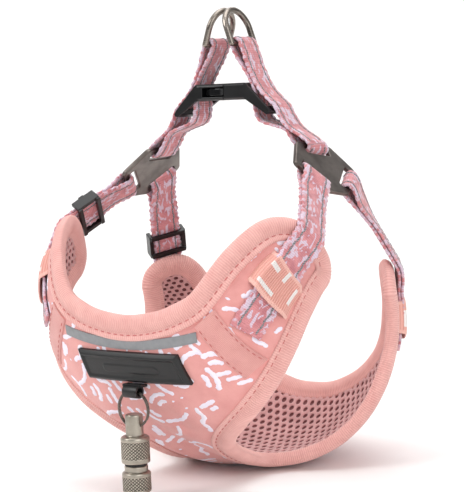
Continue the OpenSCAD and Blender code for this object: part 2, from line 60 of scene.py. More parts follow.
class Graph:
    """A procedural material built up node by node."""

    def __init__(self, name, base="#888888", rough=0.6, metal=0.0):
        self.mat = bpy.data.materials.new(name)
        self.mat.use_nodes = True
        self.tree = self.mat.node_tree
        self.bsdf = self.tree.nodes["Principled BSDF"]
        self.set("Base Color", rgb(base))
        self.set("Roughness", rough)
        self.set("Metallic", metal)

    def set(self, name, value):
        self.put(self.bsdf.inputs[name], value)

    def put(self, socket, value):
        if isinstance(value, bpy.types.NodeSocket):
            self.tree.links.new(value, socket)
        else:
            socket.default_value = value

    def node(self, kind, settings=None, **values):
        n = self.tree.nodes.new("ShaderNode" + kind)
        for k, v in (settings or {}).items():
            setattr(n, k, v)
        for k, v in values.items():
            self.put(n.inputs[k.replace("_", " ")], v)
        return n

    def math(self, op, a, b=0.0, c=0.0, clamp=False):
        n = self.tree.nodes.new("ShaderNodeMath")
        n.operation = op
        n.use_clamp = clamp
        for s, v in zip(n.inputs, (a, b, c)):
            self.put(s, v)
        return n.outputs[0]

    def times(self, a, b):
        return self.math("MULTIPLY", a, b)

    def mix(self, share, a, b):
        n = self.tree.nodes.new("ShaderNodeMix")
        n.data_type = "RGBA"
        self.put(n.inputs[0], share)
        self.put(n.inputs[6], rgb(a) if isinstance(a, str) else a)
        self.put(n.inputs[7], rgb(b) if isinstance(b, str) else b)
        return n.outputs[2]

    def step(self, value, low, high):
        return self.node("MapRange", {"interpolation_type": "SMOOTHSTEP"}, Value=value,
                         From_Min=low, From_Max=high).outputs[0]

    def uv(self):
        n = self.node("SeparateXYZ", Vector=self.node("TexCoord").outputs["UV"])
        return n.outputs[0], n.outputs[1]

    def place(self, scale=(1, 1, 1), which="UV", spin=0.0):
        return self.node("Mapping", Vector=self.node("TexCoord").outputs[which],
                         Scale=scale, Rotation=(0, 0, spin)).outputs[0]

    def noise(self, vector, scale, detail=3.0, rough=0.55, warp=0.0):
        return self.node("TexNoise", Vector=vector, Scale=scale, Detail=detail,
                         Roughness=rough, Distortion=warp).outputs["Fac"]

    def wave(self, value, pitch, shift=0.0):
        """0..1 sine of a coordinate in mm."""
        a = self.math("MULTIPLY_ADD", value, 2 * math.pi / pitch, shift)
        return self.math("MULTIPLY_ADD", self.math("SINE", a), 0.5, 0.5)

    def bump(self, height, depth, strength=1.0, under=None):
        n = self.node("Bump", Height=height, Distance=depth * MM, Strength=strength)
        if under is not None:
            self.put(n.inputs["Normal"], under)
        return n.outputs[0]


def woven(name, base, dark, pitch, rough=0.85, sheen=0.35, depth=0.10, mottle=0.5):
    """Plain cloth: crossing threads at a pitch in mm, with uneven dye and painted shade in the gaps between
    threads.
    """
    g = Graph(name, base, rough)
    u, v = g.uv()
    weave = g.math("MAXIMUM", g.times(g.wave(u, pitch), g.wave(v, pitch * 2)),
                   g.times(g.wave(u, pitch, math.pi), g.wave(v, pitch * 2, math.pi)))
    cloud = g.noise(g.place(), 0.09, 4)
    fuzz = g.noise(g.place(), 2.2, 2)
    # colour mix: random dye mottle plus painted shade, darker in the gaps between threads and lighter on the
    # crossings
    dye_and_shade = g.math("MULTIPLY_ADD", g.step(cloud, 0.3, 0.75), mottle, g.times(weave, -0.25))
    g.set("Base Color", g.mix(g.math("MULTIPLY_ADD", fuzz, 0.25, dye_and_shade, True), base, dark))
    g.set("Normal", g.bump(weave, depth, 0.8, g.bump(fuzz, 0.08, 0.5)))
    g.set("Sheen Weight", sheen)
    g.set("Sheen Roughness", 0.5)
    return g.mat


def ribbed(name, base, dark, pitch):
    """Grosgrain ribbon: ribs across the run with a fine crossing thread, and painted shade in the grooves
    between ribs.
    """
    g = Graph(name, base, 0.8)
    u, v = g.uv()
    wobble = g.math("MULTIPLY_ADD", g.noise(g.place(), 0.35, 2), 0.22, v)
    rib = g.wave(wobble, pitch)
    thread = g.wave(u, 0.55)
    cloud = g.noise(g.place(), 0.12, 3)
    # painted shade: the grooves between ribs are drawn darker; the cloud and noise add uneven dye
    groove = g.times(g.math("SUBTRACT", 1.0, rib), 0.42)
    dye_and_shade = g.math("MULTIPLY_ADD", g.step(cloud, 0.3, 0.8), 0.3, groove)
    dye_and_shade = g.math("MULTIPLY_ADD", g.noise(g.place(), 3.0, 2), 0.15, dye_and_shade, True)
    g.set("Base Color", g.mix(dye_and_shade, base, dark))
    h = g.math("MULTIPLY_ADD", thread, 0.25, rib)
    g.set("Normal", g.bump(h, 0.16, 0.85))
    g.set("Sheen Weight", 0.3)
    g.set("Sheen Roughness", 0.45)
    return g.mat


FABRIC = woven("printed_fabric", "#e6a29d", "#d08580", 0.55)
BINDING = ribbed("rib_binding", "#efbab2", "#cd8a85", 1.05)
BAND = ribbed("band_tape", "#e6aaa4", "#c9827c", 0.6)
MESH = woven("air_mesh", "#d5a19f", "#ab7877", 0.5, 0.9, 0.4, 0.12)
HOLE = woven("mesh_backing", "#7d4c4c", "#563233", 0.45, 0.95, 0.1, 0.1)
PRINT = woven("white_print", "#f3edf8", "#dcd0ea", 0.5, 0.7, 0.2, 0.07, 0.35)


def make_webbing():
    g = Graph("print_webbing", "#df9296", 0.72)
    u, v = g.uv()
    rib = g.wave(v, 0.95)
    thread = g.wave(u, 0.8)
    strokes = g.step(g.noise(g.place((0.85, 0.34, 1), spin=0.3), 0.46, 1.0, 0.4, 1.1), 0.555, 0.605)
    dabs = g.step(g.noise(g.place((0.8, 0.4, 1), spin=-0.6), 0.52, 1, 0.4, 0.5), 0.62, 0.67)
    selvage = g.step(g.math("ABSOLUTE", u), 5.7, 6.6)
    lumps = g.step(g.noise(g.place((0.25, 1, 1)), 0.42, 1, 0.4), 0.47, 0.53)
    edging = g.times(selvage, g.times(lumps, 0.7))
    white = g.math("MAXIMUM", g.math("MAXIMUM", strokes, dabs), edging)
    pink = g.mix(g.step(g.noise(g.place(), 0.22, 3), 0.35, 0.7), "#dc9194", "#c0767d")
    body = g.mix(g.times(white, 0.86), pink, "#ddd2e4")
    # painted shade: the grooves between ribs are drawn darker, towards #a9616b
    groove = g.times(g.math("SUBTRACT", 1.0, rib), 0.25)
    g.set("Base Color", g.mix(groove, body, "#a9616b"))
    h = g.math("MULTIPLY_ADD", thread, 0.5, rib)
    g.set("Normal", g.bump(h, 0.14, 0.9))
    g.set("Sheen Weight", 0.3)
    return g.mat


def thread(name, base, low, high, rough, pitch, depth, shine=0.0):
    """Twisted sewing thread."""
    g = Graph(name, base, rough, shine)
    u, v = g.uv()
    twist = g.wave(g.math("ADD", v, u), pitch)
    g.set("Base Color", g.mix(twist, low, high))
    g.set("Normal", g.bump(twist, depth, 0.9))
    return g.mat


TAPE_W, TAPE_RIB = 17.0, 1.0


def make_keeper():
    """Peach grosgrain with painted shade in the rib grooves; u is mm across the strap and v runs along it,
    over the tape's width.
    """
    g = Graph("keeper_tape", "#f6bc9f", 0.75)
    u, v = g.uv()
    rib = g.wave(u, TAPE_RIB)
    cross = g.wave(v, 0.6)
    edge = g.step(g.math("ABSOLUTE", g.math("SUBTRACT", v, TAPE_W / 2)), 6.6, 7.1)
    # painted shade: the rib grooves are drawn darker, less so near the edges, mixed with uneven dye from the
    # noise
    groove = g.times(g.math("SUBTRACT", 1.0, rib), g.math("MULTIPLY_ADD", edge, -0.5, 0.6))
    cloud = g.math("MULTIPLY_ADD", g.noise(g.place(), 0.4, 3), 0.2, groove, True)
    peach = g.mix(cloud, "#edb2a5", "#c97f73")
    g.set("Base Color", g.mix(g.times(edge, 0.45), peach, "#efc0b4"))
    g.set("Normal", g.bump(g.math("MULTIPLY_ADD", cross, 0.25, rib), 0.25, 0.9))
    g.set("Sheen Weight", 0.25)
    return g.mat


def make_bar():
    g = Graph("keeper_bar", "#eef0e6", 0.7)
    rib = g.wave(g.uv()[0], TAPE_RIB)
    # painted shade: the grooves between ribs are drawn darker, the rib tops lighter
    g.set("Base Color", g.mix(g.times(rib, 0.6), "#dcd6d2", "#f7f3f1"))
    g.set("Normal", g.bump(rib, 0.2, 0.8))
    return g.mat


def metal(name, base, dark, rough, stretch=(1, 1, 40), grit=0.0, knurl=False):
    g = Graph(name, base, rough, 1.0)
    where = g.place(stretch, "Object")
    brushed = g.noise(where, 120, 4, 0.6)
    cloud = g.noise(g.place((1, 1, 1), "Object"), 90, 4, 0.6)
    # painted shade: hollows are darkened towards #2c2724 and flat faces half as much, while ridges keep the
    # lighter tone
    hollow_shade = g.step(g.node("NewGeometry").outputs["Pointiness"], 0.47, 0.53)
    tone = g.mix(g.step(cloud, 0.35, 0.75), base, dark)
    tone = g.mix(hollow_shade, g.mix(0.55, tone, "#2c2724"), tone)
    # painted shade: the knurl grooves, whose depth comes in as texture u, are drawn darker towards #4b463f
    if knurl:
        tone = g.mix(g.times(g.uv()[0], 0.8), tone, "#4b463f")
    g.set("Base Color", tone)
    g.set("Roughness", g.math("MULTIPLY_ADD", brushed, 0.22, rough - 0.1))
    fine = g.noise(g.place((1, 1, 1), "Object"), 2600, 2)
    g.set("Normal", g.bump(fine, 0.02 + grit, 0.35, g.bump(brushed, 0.03, 0.4)))
    return g.mat


def plastic(name, base, rough, grain, scale=1800):
    g = Graph(name, base, rough)
    where = g.place((1, 1, 1), "Object")
    fine = g.noise(where, scale, 2)
    cloud = g.noise(where, 70, 3)
    g.set("Base Color", g.mix(g.step(cloud, 0.3, 0.8), base, "#121213"))
    g.set("Roughness", g.math("MULTIPLY_ADD", cloud, 0.16, rough - 0.08))
    g.set("Normal", g.bump(fine, grain, 0.5))
    return g.mat


def make_reflective():
    g = Graph("reflective_tape", "#8f9093", 0.42, 0.35)
    cells = g.node("TexVoronoi", Vector=g.place(), Scale=2.4).outputs["Distance"]
    g.set("Base Color", g.mix(g.noise(g.place(), 0.25, 3), "#747679", "#98999b"))
    g.set("Normal", g.bump(cells, 0.05, 0.7))
    return g.mat


WEBBING = make_webbing()
CORD = thread("reflective_thread", "#6f6d70", "#5c5c61", "#a4a3a6", 0.5, 1.1, 0.15, 0.25)
SEAM = thread("seam_thread", "#c86a68", "#b5595a", "#d98480", 0.7, 0.7, 0.12)
KEEPER = make_keeper()
KEEPER_BAR = make_bar()
NICKEL = metal("satin_nickel", "#7b736e", "#5b5450", 0.34)
RING = metal("ring_nickel", "#a39a91", "#7b736b", 0.27)
# capsule metal: the last argument turns on painted shade in the knurl grooves
CAPSULE = metal("capsule_metal", "#bdb5a8", "#958d81", 0.34, (1, 1, 1), 0.04, True)
BLACK = plastic("black_plastic", "#070708", 0.30, 0.03)
GLOSS = plastic("black_gloss", "#0a0a0b", 0.12, 0.01)
RUBBER = plastic("black_rubber", "#0c0c0d", 0.46, 0.05, 2600)
SEAL = plastic("seal_rubber", "#333333", 0.6, 0.04)
PAPER = woven("slip_paper", "#f4f2ea", "#e4dfcf", 0.3, 0.9, 0.0, 0.03)
TAPE = make_reflective()


# -------------------- the formed bowl, in mm
def sind(a):
    return np.sin(np.radians(a))


def cosd(a):
    return np.cos(np.radians(a))


def unit(a):
    a = np.asarray(a, float)
    return a / np.maximum(np.linalg.norm(a, axis=-1, keepdims=True), 1e-12)


def smooth(v, f):
    v = np.asarray(v, float)
    g = np.clip(f, 0, 1) * (len(v) - 1)
    i = np.minimum(np.floor(g).astype(int), len(v) - 2)
    t = g - i
    a, b, c, d = v[np.maximum(i - 1, 0)], v[i], v[i + 1], v[np.minimum(i + 2, len(v) - 1)]
    return b + 0.5 * t * (c - a + t * (2 * a - 5 * b + 4 * c - d + t * (3 * (b - c) + d - a)))


def ease(f):
    g = np.clip(f, 0, 1)
    return g * g * (3 - 2 * g)


def mix(a, b, f):
    return a + (b - a) * f


def bowl_r(p):
    return np.where(p < 68, 71 + 19 * sind(0.776 * (68 - p)) ** 2, 71 + 13.5 * sind(1.125 * (p - 68)) ** 2)


def on_bowl(p, x):
    p, x = np.broadcast_arrays(np.asarray(p, float), np.asarray(x, float))
    n = 2.5 + 0.6 * cosd(p)
    r = bowl_r(p) * np.maximum(1 - (np.abs(x) / (74 + 0.02 * p)) ** n, 1e-6) ** (1 / n)
    return np.stack([x, -5 - r * cosd(p), 75 - r * sind(p)], -1)


def along_p(p, x):
    return (on_bowl(p + 0.2, x) - on_bowl(p - 0.2, x)) / 0.4


def along_x(p, x):
    return (on_bowl(p, x + 0.2) - on_bowl(p, x - 0.2)) / 0.4


def normal(p, x):
    return unit(np.cross(along_p(p, x), along_x(p, x)))


def skin(p, x, h):
    p, x, h = np.broadcast_arrays(np.asarray(p, float), np.asarray(x, float), np.asarray(h, float))
    return on_bowl(p, x) + h[..., None] * normal(p, x)


NECK_P = [-2.5, -3.4, -6, -11.5, -25.5, -40.5, -46.3, -42.8, -32]
REAR_P = [143, 143.7, 146.8, 152, 163, 198, 206, 203.5, 193.5]
ON_SHELL = 2.03


def arm_edge(p):
    return 72 - 50 / (1 + ((p - 67) / np.where(p < 67, 37, 28)) ** 4)


def even(v, f):
    return smooth(list(v[:0:-1]) + list(v), (f + 1) / 2)


def vest_q(f, v):
    p = mix(even(NECK_P, f), even(REAR_P, f), v)
    return p, sind(90 * f) * arm_edge(p)


def inner_half(p, inset):
    a = arm_edge(p + 1), arm_edge(p - 1)
    run = unit(on_bowl(p + 1, a[0]) - on_bowl(p - 1, a[1]))
    return arm_edge(p) - inset / np.linalg.norm(np.cross(run, along_x(p, arm_edge(p) - 1.5)), axis=-1)


def inner_end(f, v, way, inset):
    run = unit(on_bowl(*vest_q(f + 0.02, v)) - on_bowl(*vest_q(f - 0.02, v)))
    p, x = vest_q(f, v)
    p2 = p + way * inset / np.linalg.norm(np.cross(run, along_p(p, x)), axis=-1)
    return p2, np.clip(x / inner_half(p2, inset), -1, 1)


def inner_q(f, v, inset):
    end = 1 - 0.025 * inset
    p0, x0 = inner_end(f * end, 0.0, 1, inset)
    p1, x1 = inner_end(f * end, 1.0, -1, inset)
    p, x = mix(p0, p1, v), mix(x0, x1, v)
    x = np.where(np.abs(f) > 0.999, np.sign(f), x)
    return p, x * inner_half(p, inset)


# lengths along the bowl, so that patterns keep their size in mm
P_TAB = np.arange(-62, 224, 0.5)
X_TAB = np.linspace(0, 72.6, 260)
grid = on_bowl(P_TAB[:, None], X_TAB[None, :])
ARC = np.cumsum(np.linalg.norm(np.diff(grid, axis=1, prepend=grid[:, :1]), axis=-1), 1)
S_TAB = np.concatenate([[0], np.cumsum(np.linalg.norm(np.diff(grid[:, 0], axis=0), axis=-1))])
S_TAB -= np.interp(0, P_TAB, S_TAB)


def flat(p, x):
    """(a, s): mm across and mm along the bowl."""
    p, x = np.broadcast_arrays(np.asarray(p, float), np.asarray(x, float))
    gi = np.clip((p - P_TAB[0]) / 0.5, 0, len(P_TAB) - 1.001)
    gj = np.clip(np.abs(x) / X_TAB[1], 0, len(X_TAB) - 1.001)
    i, j = gi.astype(int), gj.astype(int)
    t, w = gi - i, gj - j
    a = mix(mix(ARC[i, j], ARC[i, j + 1], w), mix(ARC[i + 1, j], ARC[i + 1, j + 1], w), t)
    return np.stack([a * np.sign(x), np.interp(p, P_TAB, S_TAB)], -1)


def unflat(a, s):
    """The (p, x) at mm across and mm along the bowl."""
    a, s = np.broadcast_arrays(np.asarray(a, float), np.asarray(s, float))
    p = np.interp(s, S_TAB, P_TAB)
    gi = np.clip((p - P_TAB[0]) / 0.5, 0, len(P_TAB) - 1.001)
    i = gi.astype(int)
    t = gi - i
    x = np.zeros(a.shape)
    for k in np.unique(i):
        m = i == k
        b = np.abs(a[m])
        x[m] = mix(np.interp(b, ARC[k], X_TAB), np.interp(b, ARC[k + 1], X_TAB), t[m])
    return p, x * np.sign(a)


def room(p, x):
    """How far inside the edge of the vest a point is, in mm."""
    edge = arm_edge(p)
    f = np.degrees(np.arcsin(np.clip(x / edge, -1, 1))) / 90
    reach = np.linalg.norm(along_p(p, x), axis=-1)
    side = flat(p, edge)[..., 0] - np.abs(flat(p, x)[..., 0])
    side = np.where(np.abs(x) > edge, -1, side)
    return np.minimum(np.minimum(p - even(NECK_P, f), even(REAR_P, f) - p) * reach, side)


# -------------------- building meshes
def strip_faces(n, m, wrap_n=False, wrap_m=False):
    i = np.arange(n if wrap_n else n - 1)[:, None]
    j = np.arange(m if wrap_m else m - 1)[None, :]
    k, q = (i + 1) % n, (j + 1) % m
    return np.stack([i * m + j, i * m + q, k * m + q, k * m + j], -1).reshape(-1, 4).tolist()


class Soup:
    """Vertices in mm, faces, texture coordinates and material numbers of one piece."""

    def __init__(self):
        self.v, self.uv, self.f, self.m, self.n = [], [], [], [], 0

    def add(self, v, f, uv=None, m=0):
        v = np.asarray(v, float).reshape(-1, 3)
        uv = v[:, :2] if uv is None else np.asarray(uv, float).reshape(-1, 2)
        self.v.append(v)
        self.uv.append(uv)
        self.f += [[i + self.n for i in q] for q in f]
        self.m += [m] * len(f) if isinstance(m, int) else list(m)
        self.n += len(v)

    def make(self, name, mats, body=None, stands_for=(), weld=0):
        v, uv, f = np.concatenate(self.v) * MM, np.concatenate(self.uv), self.f
        if weld:
            _, first, back = np.unique(np.round(v / (weld * MM)).astype(np.int64), axis=0,
                                       return_index=True, return_inverse=True)
            back = back.ravel()
            v, uv = v[first], uv[first]
            f = [[int(back[i]) for i in q] for q in f]
        mesh = bpy.data.meshes.new(name)
        mesh.from_pydata(v.tolist(), [], f)
        layer = mesh.uv_layers.new(name="UVMap")
        loops = np.zeros(len(mesh.loops), np.int32)
        mesh.loops.foreach_get("vertex_index", loops)
        layer.data.foreach_set("uv", uv[loops].astype(np.float32).ravel())
        for mat in mats:
            mesh.materials.append(mat)
        mesh.polygons.foreach_set("material_index", np.array(self.m, np.int32))
        mesh.polygons.foreach_set("use_smooth", np.full(len(mesh.polygons), True))
        mesh.update()
        o = bpy.data.objects.new(name, mesh)
        show(o)
        if body:
            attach(o, body)
        if stands_for:
            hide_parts(*stands_for)
        return o


def closed_sheet(soup, top, low, uv, m=0):
    """A sheet between two equal grids of points."""
    n, k = top.shape[:2]
    soup.add(top, strip_faces(n, k), uv, m)
    soup.add(low, [q[::-1] for q in strip_faces(n, k)], uv, m)
    rim = [(0, j) for j in range(k)] + [(i, k - 1) for i in range(1, n)]
    rim += [(n - 1, j) for j in range(k - 2, -1, -1)] + [(i, 0) for i in range(n - 2, 0, -1)]
    a, b = (np.array([g[r] for r in rim]) for g in (top, low))
    soup.add(np.stack([b, a]), strip_faces(2, len(rim), wrap_m=True),
             np.stack([[uv[r] for r in rim]] * 2), m)


def lengths(c, closed=False):
    d = np.linalg.norm(np.diff(np.concatenate([c, c[:1]]) if closed else c, axis=0), axis=-1)
    return np.concatenate([[0], np.cumsum(d)])


def resample(c, step, *others, closed=False):
    """Points every step mm along c, with the other lists taken along."""
    ln = lengths(c, closed)
    n = max(2, int(round(ln[-1] / step)))
    at = np.linspace(0, ln[-1], n + 1)[:-1] if closed else np.linspace(0, ln[-1], n + 1)
    out = []
    for a in (c, *others):
        a = np.concatenate([a, a[:1]]) if closed else a
        out.append(np.stack([np.interp(at, ln, a[:, k]) for k in range(a.shape[1])], -1))
    return out, at


def relax(c, rounds, closed=False, hold=1):
    c = c.copy()
    for _ in range(rounds):
        if closed:
            c = 0.5 * c + 0.25 * (np.roll(c, 1, 0) + np.roll(c, -1, 0))
        else:
            beside = c[hold - 1:-hold - 1] + c[hold + 1:len(c) - hold + 1]
            c[hold:-hold] = 0.5 * c[hold:-hold] + 0.25 * beside
    return c


# a small rounded grain, along x, that every stitch is made from
ang = np.arange(6) * math.pi / 3
grain_rings = ((-0.42, 0.3), (-0.22, 0.5), (0.22, 0.5), (0.42, 0.3))
around = [(x, w * math.cos(a), w * math.sin(a)) for x, w in grain_rings for a in ang]
GRAIN = np.array([(-0.5, 0, 0), *around, (0.5, 0, 0)])
GRAIN_F = [[0, 1 + (j + 1) % 6, 1 + j] for j in range(6)]
GRAIN_F += [[1 + 6 * i + j, 1 + 6 * i + (j + 1) % 6, 7 + 6 * i + (j + 1) % 6, 7 + 6 * i + j]
            for i in range(3) for j in range(6)]
GRAIN_F += [[25, 19 + j, 19 + (j + 1) % 6] for j in range(6)]


def grains(soup, at, run, up, long, wide, high, m):
    """One grain of thread at each point."""
    at, run, up = (np.asarray(a, float).reshape(-1, 3) for a in (at, run, up))
    run = unit(run)
    side = unit(np.cross(up, run))
    up = np.cross(run, side)
    long = np.broadcast_to(long, len(at))
    for k in range(len(at)):
        v = at[k] + GRAIN[:, :1] * long[k] * run[k] + GRAIN[:, 1:2] * wide * side[k]
        v = v + GRAIN[:, 2:] * high * up[k]
        soup.add(v, GRAIN_F, np.stack([GRAIN[:, 1] * wide, GRAIN[:, 0] * long[k]], -1), m)


def stitch(soup, line, up, pitch, long, wide, high, m, skip=0.0):
    """A row of stitches along a line of points."""
    if len(line) < 3:
        return
    (c, n), at = resample(line, pitch, up)
    run = np.gradient(c, axis=0)
    ok = (at >= skip) & (at <= at[-1] - skip)
    grains(soup, c[ok], run[ok], n[ok], long, wide, high, m)


# -------------------- vest
def creases(p, x):
    """Soft folds low on the chest where the padded cloth bends in."""
    a, s = np.moveaxis(flat(p, x), -1, 0)
    out = np.zeros(a.shape)
    for a0, s0, turn, wide, deep, reach in ((-14, 66, 62, 4.0, 1.2, 24), (6, 74, 66, 4.2, -1.5, 26),
                                            (18, 62, 44, 4.6, 1.3, 22), (-30, 52, 118, 4.4, 0.9, 18),
                                            (-3, 92, 80, 5.0, 1.1, 24), (28, 76, 24, 4.2, -1.1, 16),
                                            (12, 50, 70, 3.6, -0.8, 14)):
        d = -(a - a0) * sind(turn) + (s - s0) * cosd(turn)
        e = (a - a0) * cosd(turn) + (s - s0) * sind(turn)
        out += deep * np.exp(-(d / wide) ** 2 - (e / reach) ** 2)
    return out * ease((room(p, x) - 5) / 8)


N_F, N_V = 120, 210
ff, vv = np.meshgrid(np.linspace(-1, 1, N_F + 1), np.linspace(0, 1, N_V + 1))
sp, sx = inner_q(ff, vv, 3.0)
fold = creases(sp, sx)
outer = Soup()
closed_sheet(outer, skin(sp, sx, 1.88 + fold), skin(sp, sx, np.full(sp.shape, -0.8)), flat(sp, sx))
outer.make("vest_outer", [FABRIC], "vest", ("chest_shell", "foam_pad"))


def ribbon(soup, a, s, wide, m=0, lift=0.055):
    """One painted stroke along (a, s), with round ends."""
    pts = np.stack([a, s], -1)
    (pts,), at = resample(pts, 0.7)
    total = at[-1]
    if total < 0.05:
        return
    cap = wide * (1 - cosd(np.array([0, 30, 60, 90])))
    ts = np.unique(np.concatenate([at[(at > wide) & (at < total - wide)], np.minimum(cap, total / 2),
                                   total - np.minimum(cap, total / 2)]))
    c = np.stack([np.interp(ts, at, pts[:, k]) for k in (0, 1)], -1)
    run = np.gradient(c, axis=0)
    run /= np.maximum(np.linalg.norm(run, axis=1, keepdims=True), 1e-9)
    side = np.stack([-run[:, 1], run[:, 0]], -1)
    near = np.minimum(ts, total - ts)
    w = wide * np.sqrt(np.clip(1 - (1 - np.minimum(near / wide, 1)) ** 2, 0.02, 1))
    w = w * (1 + 0.14 * np.sin(ts * 1.7 + a[0]) + 0.08 * np.sin(ts * 4.1 + s[0]))
    across = np.array([-1.0, -0.93, 0.0, 0.93, 1.0])
    q = c[:, None] + side[:, None] * (w[:, None] * across)[..., None]
    p, x = unflat(q[..., 0], q[..., 1])
    h = 1.88 + creases(p, x) + np.array([-0.06, lift, lift, lift, -0.06])
    soup.add(skin(p, x, h), strip_faces(len(ts), 5), q, m)


def motif(kind):
    """Strokes of one abstract mark, about 10 mm across."""
    t = np.linspace(0, 1, 24)
    if kind == 0:  # leaf of two strokes side by side
        return [(np.array([-3.6, 3.4]), np.array([0, 0.7])), (np.array([-2.2, 2.6]), np.array([1.7, 2.2]))]
    if kind == 1:  # rippled line
        return [(13 * t - 6.5, 0.8 * np.sin(12 * t))]
    if kind == 2:  # shallow arc
        k = np.radians(45 + 90 * t)
        return [(7.2 * np.cos(k), 7.2 * np.sin(k) - 6)]
    if kind == 3:  # three dashes
        return [(np.array([-3.4, 3.0]) + d, np.array([d * 1.1, d * 1.1])) for d in (-2.9, 0, 2.9)]
    if kind == 4:  # dots
        spots = ((-3, -1), (1.4, 2.6), (2.6, -2.8))
        return [(np.array([dx, dx + 0.9]), np.array([dy, dy + 0.2])) for dx, dy in spots]
    if kind == 5:  # long soft curve
        return [(14 * t - 7, 2.2 * np.sin(3.2 * t))]
    if kind == 6:  # star of crossing strokes
        ray = np.array([-5.4, 5.4])
        return [(ray * math.cos(k), ray * math.sin(k)) for k in (0.4, 1.45, 2.5)]
    if kind == 7:  # nested arcs
        k = np.radians(50 + 80 * t)
        return [(r * np.cos(k), r * np.sin(k) - 5) for r in (4.2, 7.6)]
    if kind == 8:  # ripple with a dot beside it
        return [(9 * t - 4.5, 0.9 * np.sin(9 * t)), (np.array([5.9, 6.5]), np.array([3.0, 3.2]))]
    return [(np.array([-4.6, 4.6]), np.array([0, 0.8])), (np.array([-1.6, 2.8]), np.array([3.6, 4.0]))]


marks = Soup()
order = []
for row in range(-7, 27):
    for col in range(-10, 11):
        if not order:
            order = list(rng.permutation(10))
        kind = int(order.pop())
        a0 = 12.2 * (col + 0.5 * (row % 2)) + rng.uniform(-1.6, 1.6)
        s0 = 11.0 * row + rng.uniform(-1.6, 1.6)
        turn = rng.uniform(0, 360)
        size = rng.uniform(1.02, 1.34)
        wide = rng.uniform(1.0, 1.3)
        for a, s in motif(kind):
            a, s = np.asarray(a) * size, np.asarray(s) * size
            aa, ss = a0 + a * cosd(turn) - s * sind(turn), s0 + a * sind(turn) + s * cosd(turn)
            p, x = unflat(aa, ss)
            if np.min(room(p, x)) > 6.2 and np.all(np.abs(aa) < 96):
                ribbon(marks, aa, ss, wide)
marks.make("vest_print", [PRINT], "vest")

# -------------------- air mesh lining
PITCH_A, PITCH_S = 4.3, 4.6
HOLE_A, HOLE_S = 1.25, 1.62
rim_a = np.array([-.5, -.25, 0, .25, .5, .5, .5, .25, 0, -.25, -.5, -.5])
rim_s = np.array([-.5, -.5, -.5, -.5, -.5, 0, .5, .5, .5, .5, .5, 0])
rim_k = np.arctan2(rim_s * PITCH_S / HOLE_S, rim_a * PITCH_A / HOLE_A)
rings = [(rim_a * PITCH_A, rim_s * PITCH_S, -2.02)]
for grow, h in ((1.28, -1.98), (1.06, -1.78), (1.0, -1.45), (1.0, -1.16)):
    rings.append((HOLE_A * grow * np.cos(rim_k), HOLE_S * grow * np.sin(rim_k), h))
cell = [(r, (j + 1) % 12, j) for r in range(4) for j in range(12)]
cell_f = [[12 * r + j, 12 * r + q, 12 * r + 12 + q, 12 * r + 12 + j] for r, q, j in cell]
cell_f += [list(range(48, 60))]
ca, cs = [], []
for row in range(-14, 60):
    for col in range(-24, 25):
        ca.append(PITCH_A * (col + 0.5 * (row % 2)))
        cs.append(PITCH_S * row)
ca, cs = np.array(ca), np.array(cs)
cp, cx = unflat(ca, cs)
keep = (room(cp, cx) > 2.0) & (np.abs(ca) < 98)
ca, cs = ca[keep], cs[keep]
va = np.concatenate([r[0] for r in rings])[None] + ca[:, None]
vs = np.concatenate([r[1] for r in rings])[None] + cs[:, None]
vh = np.concatenate([np.full(12, r[2]) for r in rings])[None] + 0 * va
vp, vx = unflat(va, vs)
vh = vh + 0.10 * np.sin(va * 0.9) * np.sin(vs * 0.7)
pts = skin(vp, vx, vh)
lining = Soup()
for k in range(len(ca)):
    lining.add(pts[k], cell_f, np.stack([va[k], vs[k]], -1), [0] * 36 + [1] * 13)
lining.make("mesh_lining_lattice", [MESH, HOLE], "vest", ("mesh_lining",), weld=0.01)

# -------------------- rolled edge
EDGE_N = 176


def edge_q(k):
    k = np.mod(k, EDGE_N)
    sel = [k < 44, k < 88, k < 132, k >= 132]
    f = np.select(sel, [k / 22 - 1, 1 + 0 * k, 1 - (k - 88) / 22, -1 + 0 * k])
    v = np.select(sel, [0 * k, (k - 44) / 44, 1 + 0 * k, 1 - (k - 132) / 44])
    return vest_q(f, v)


dense = np.arange(0, EDGE_N + 0.001, 0.04)
edge_len = lengths(on_bowl(*edge_q(dense)))
RIB = 1.05


def section(flange):
    """(inward, outward) outline of the rolled edge, outer side first."""
    k = np.radians(np.array([180, 160, 140, 118, 96, 74, 52, 34]))
    top = [(-0.8 + 4.4 * math.cos(a), 3.4 * math.sin(a)) for a in k]
    top += [(3.35, 2.28), (3.75, 2.08), (4.15, 2.42), (4.6, 2.62), (flange - 0.6, 2.6), (flange, 2.42),
            (flange + 0.15, 2.0), (flange + 0.1, 1.5)]
    low = [(5.6, -1.75), (4.9, -2.35)] + [(0.1 + 5.0 * math.cos(a), -3.35 * math.sin(a)) for a in
                                        np.radians([40, 62, 84, 106, 128, 150, 166])]
    return np.array(top + low)


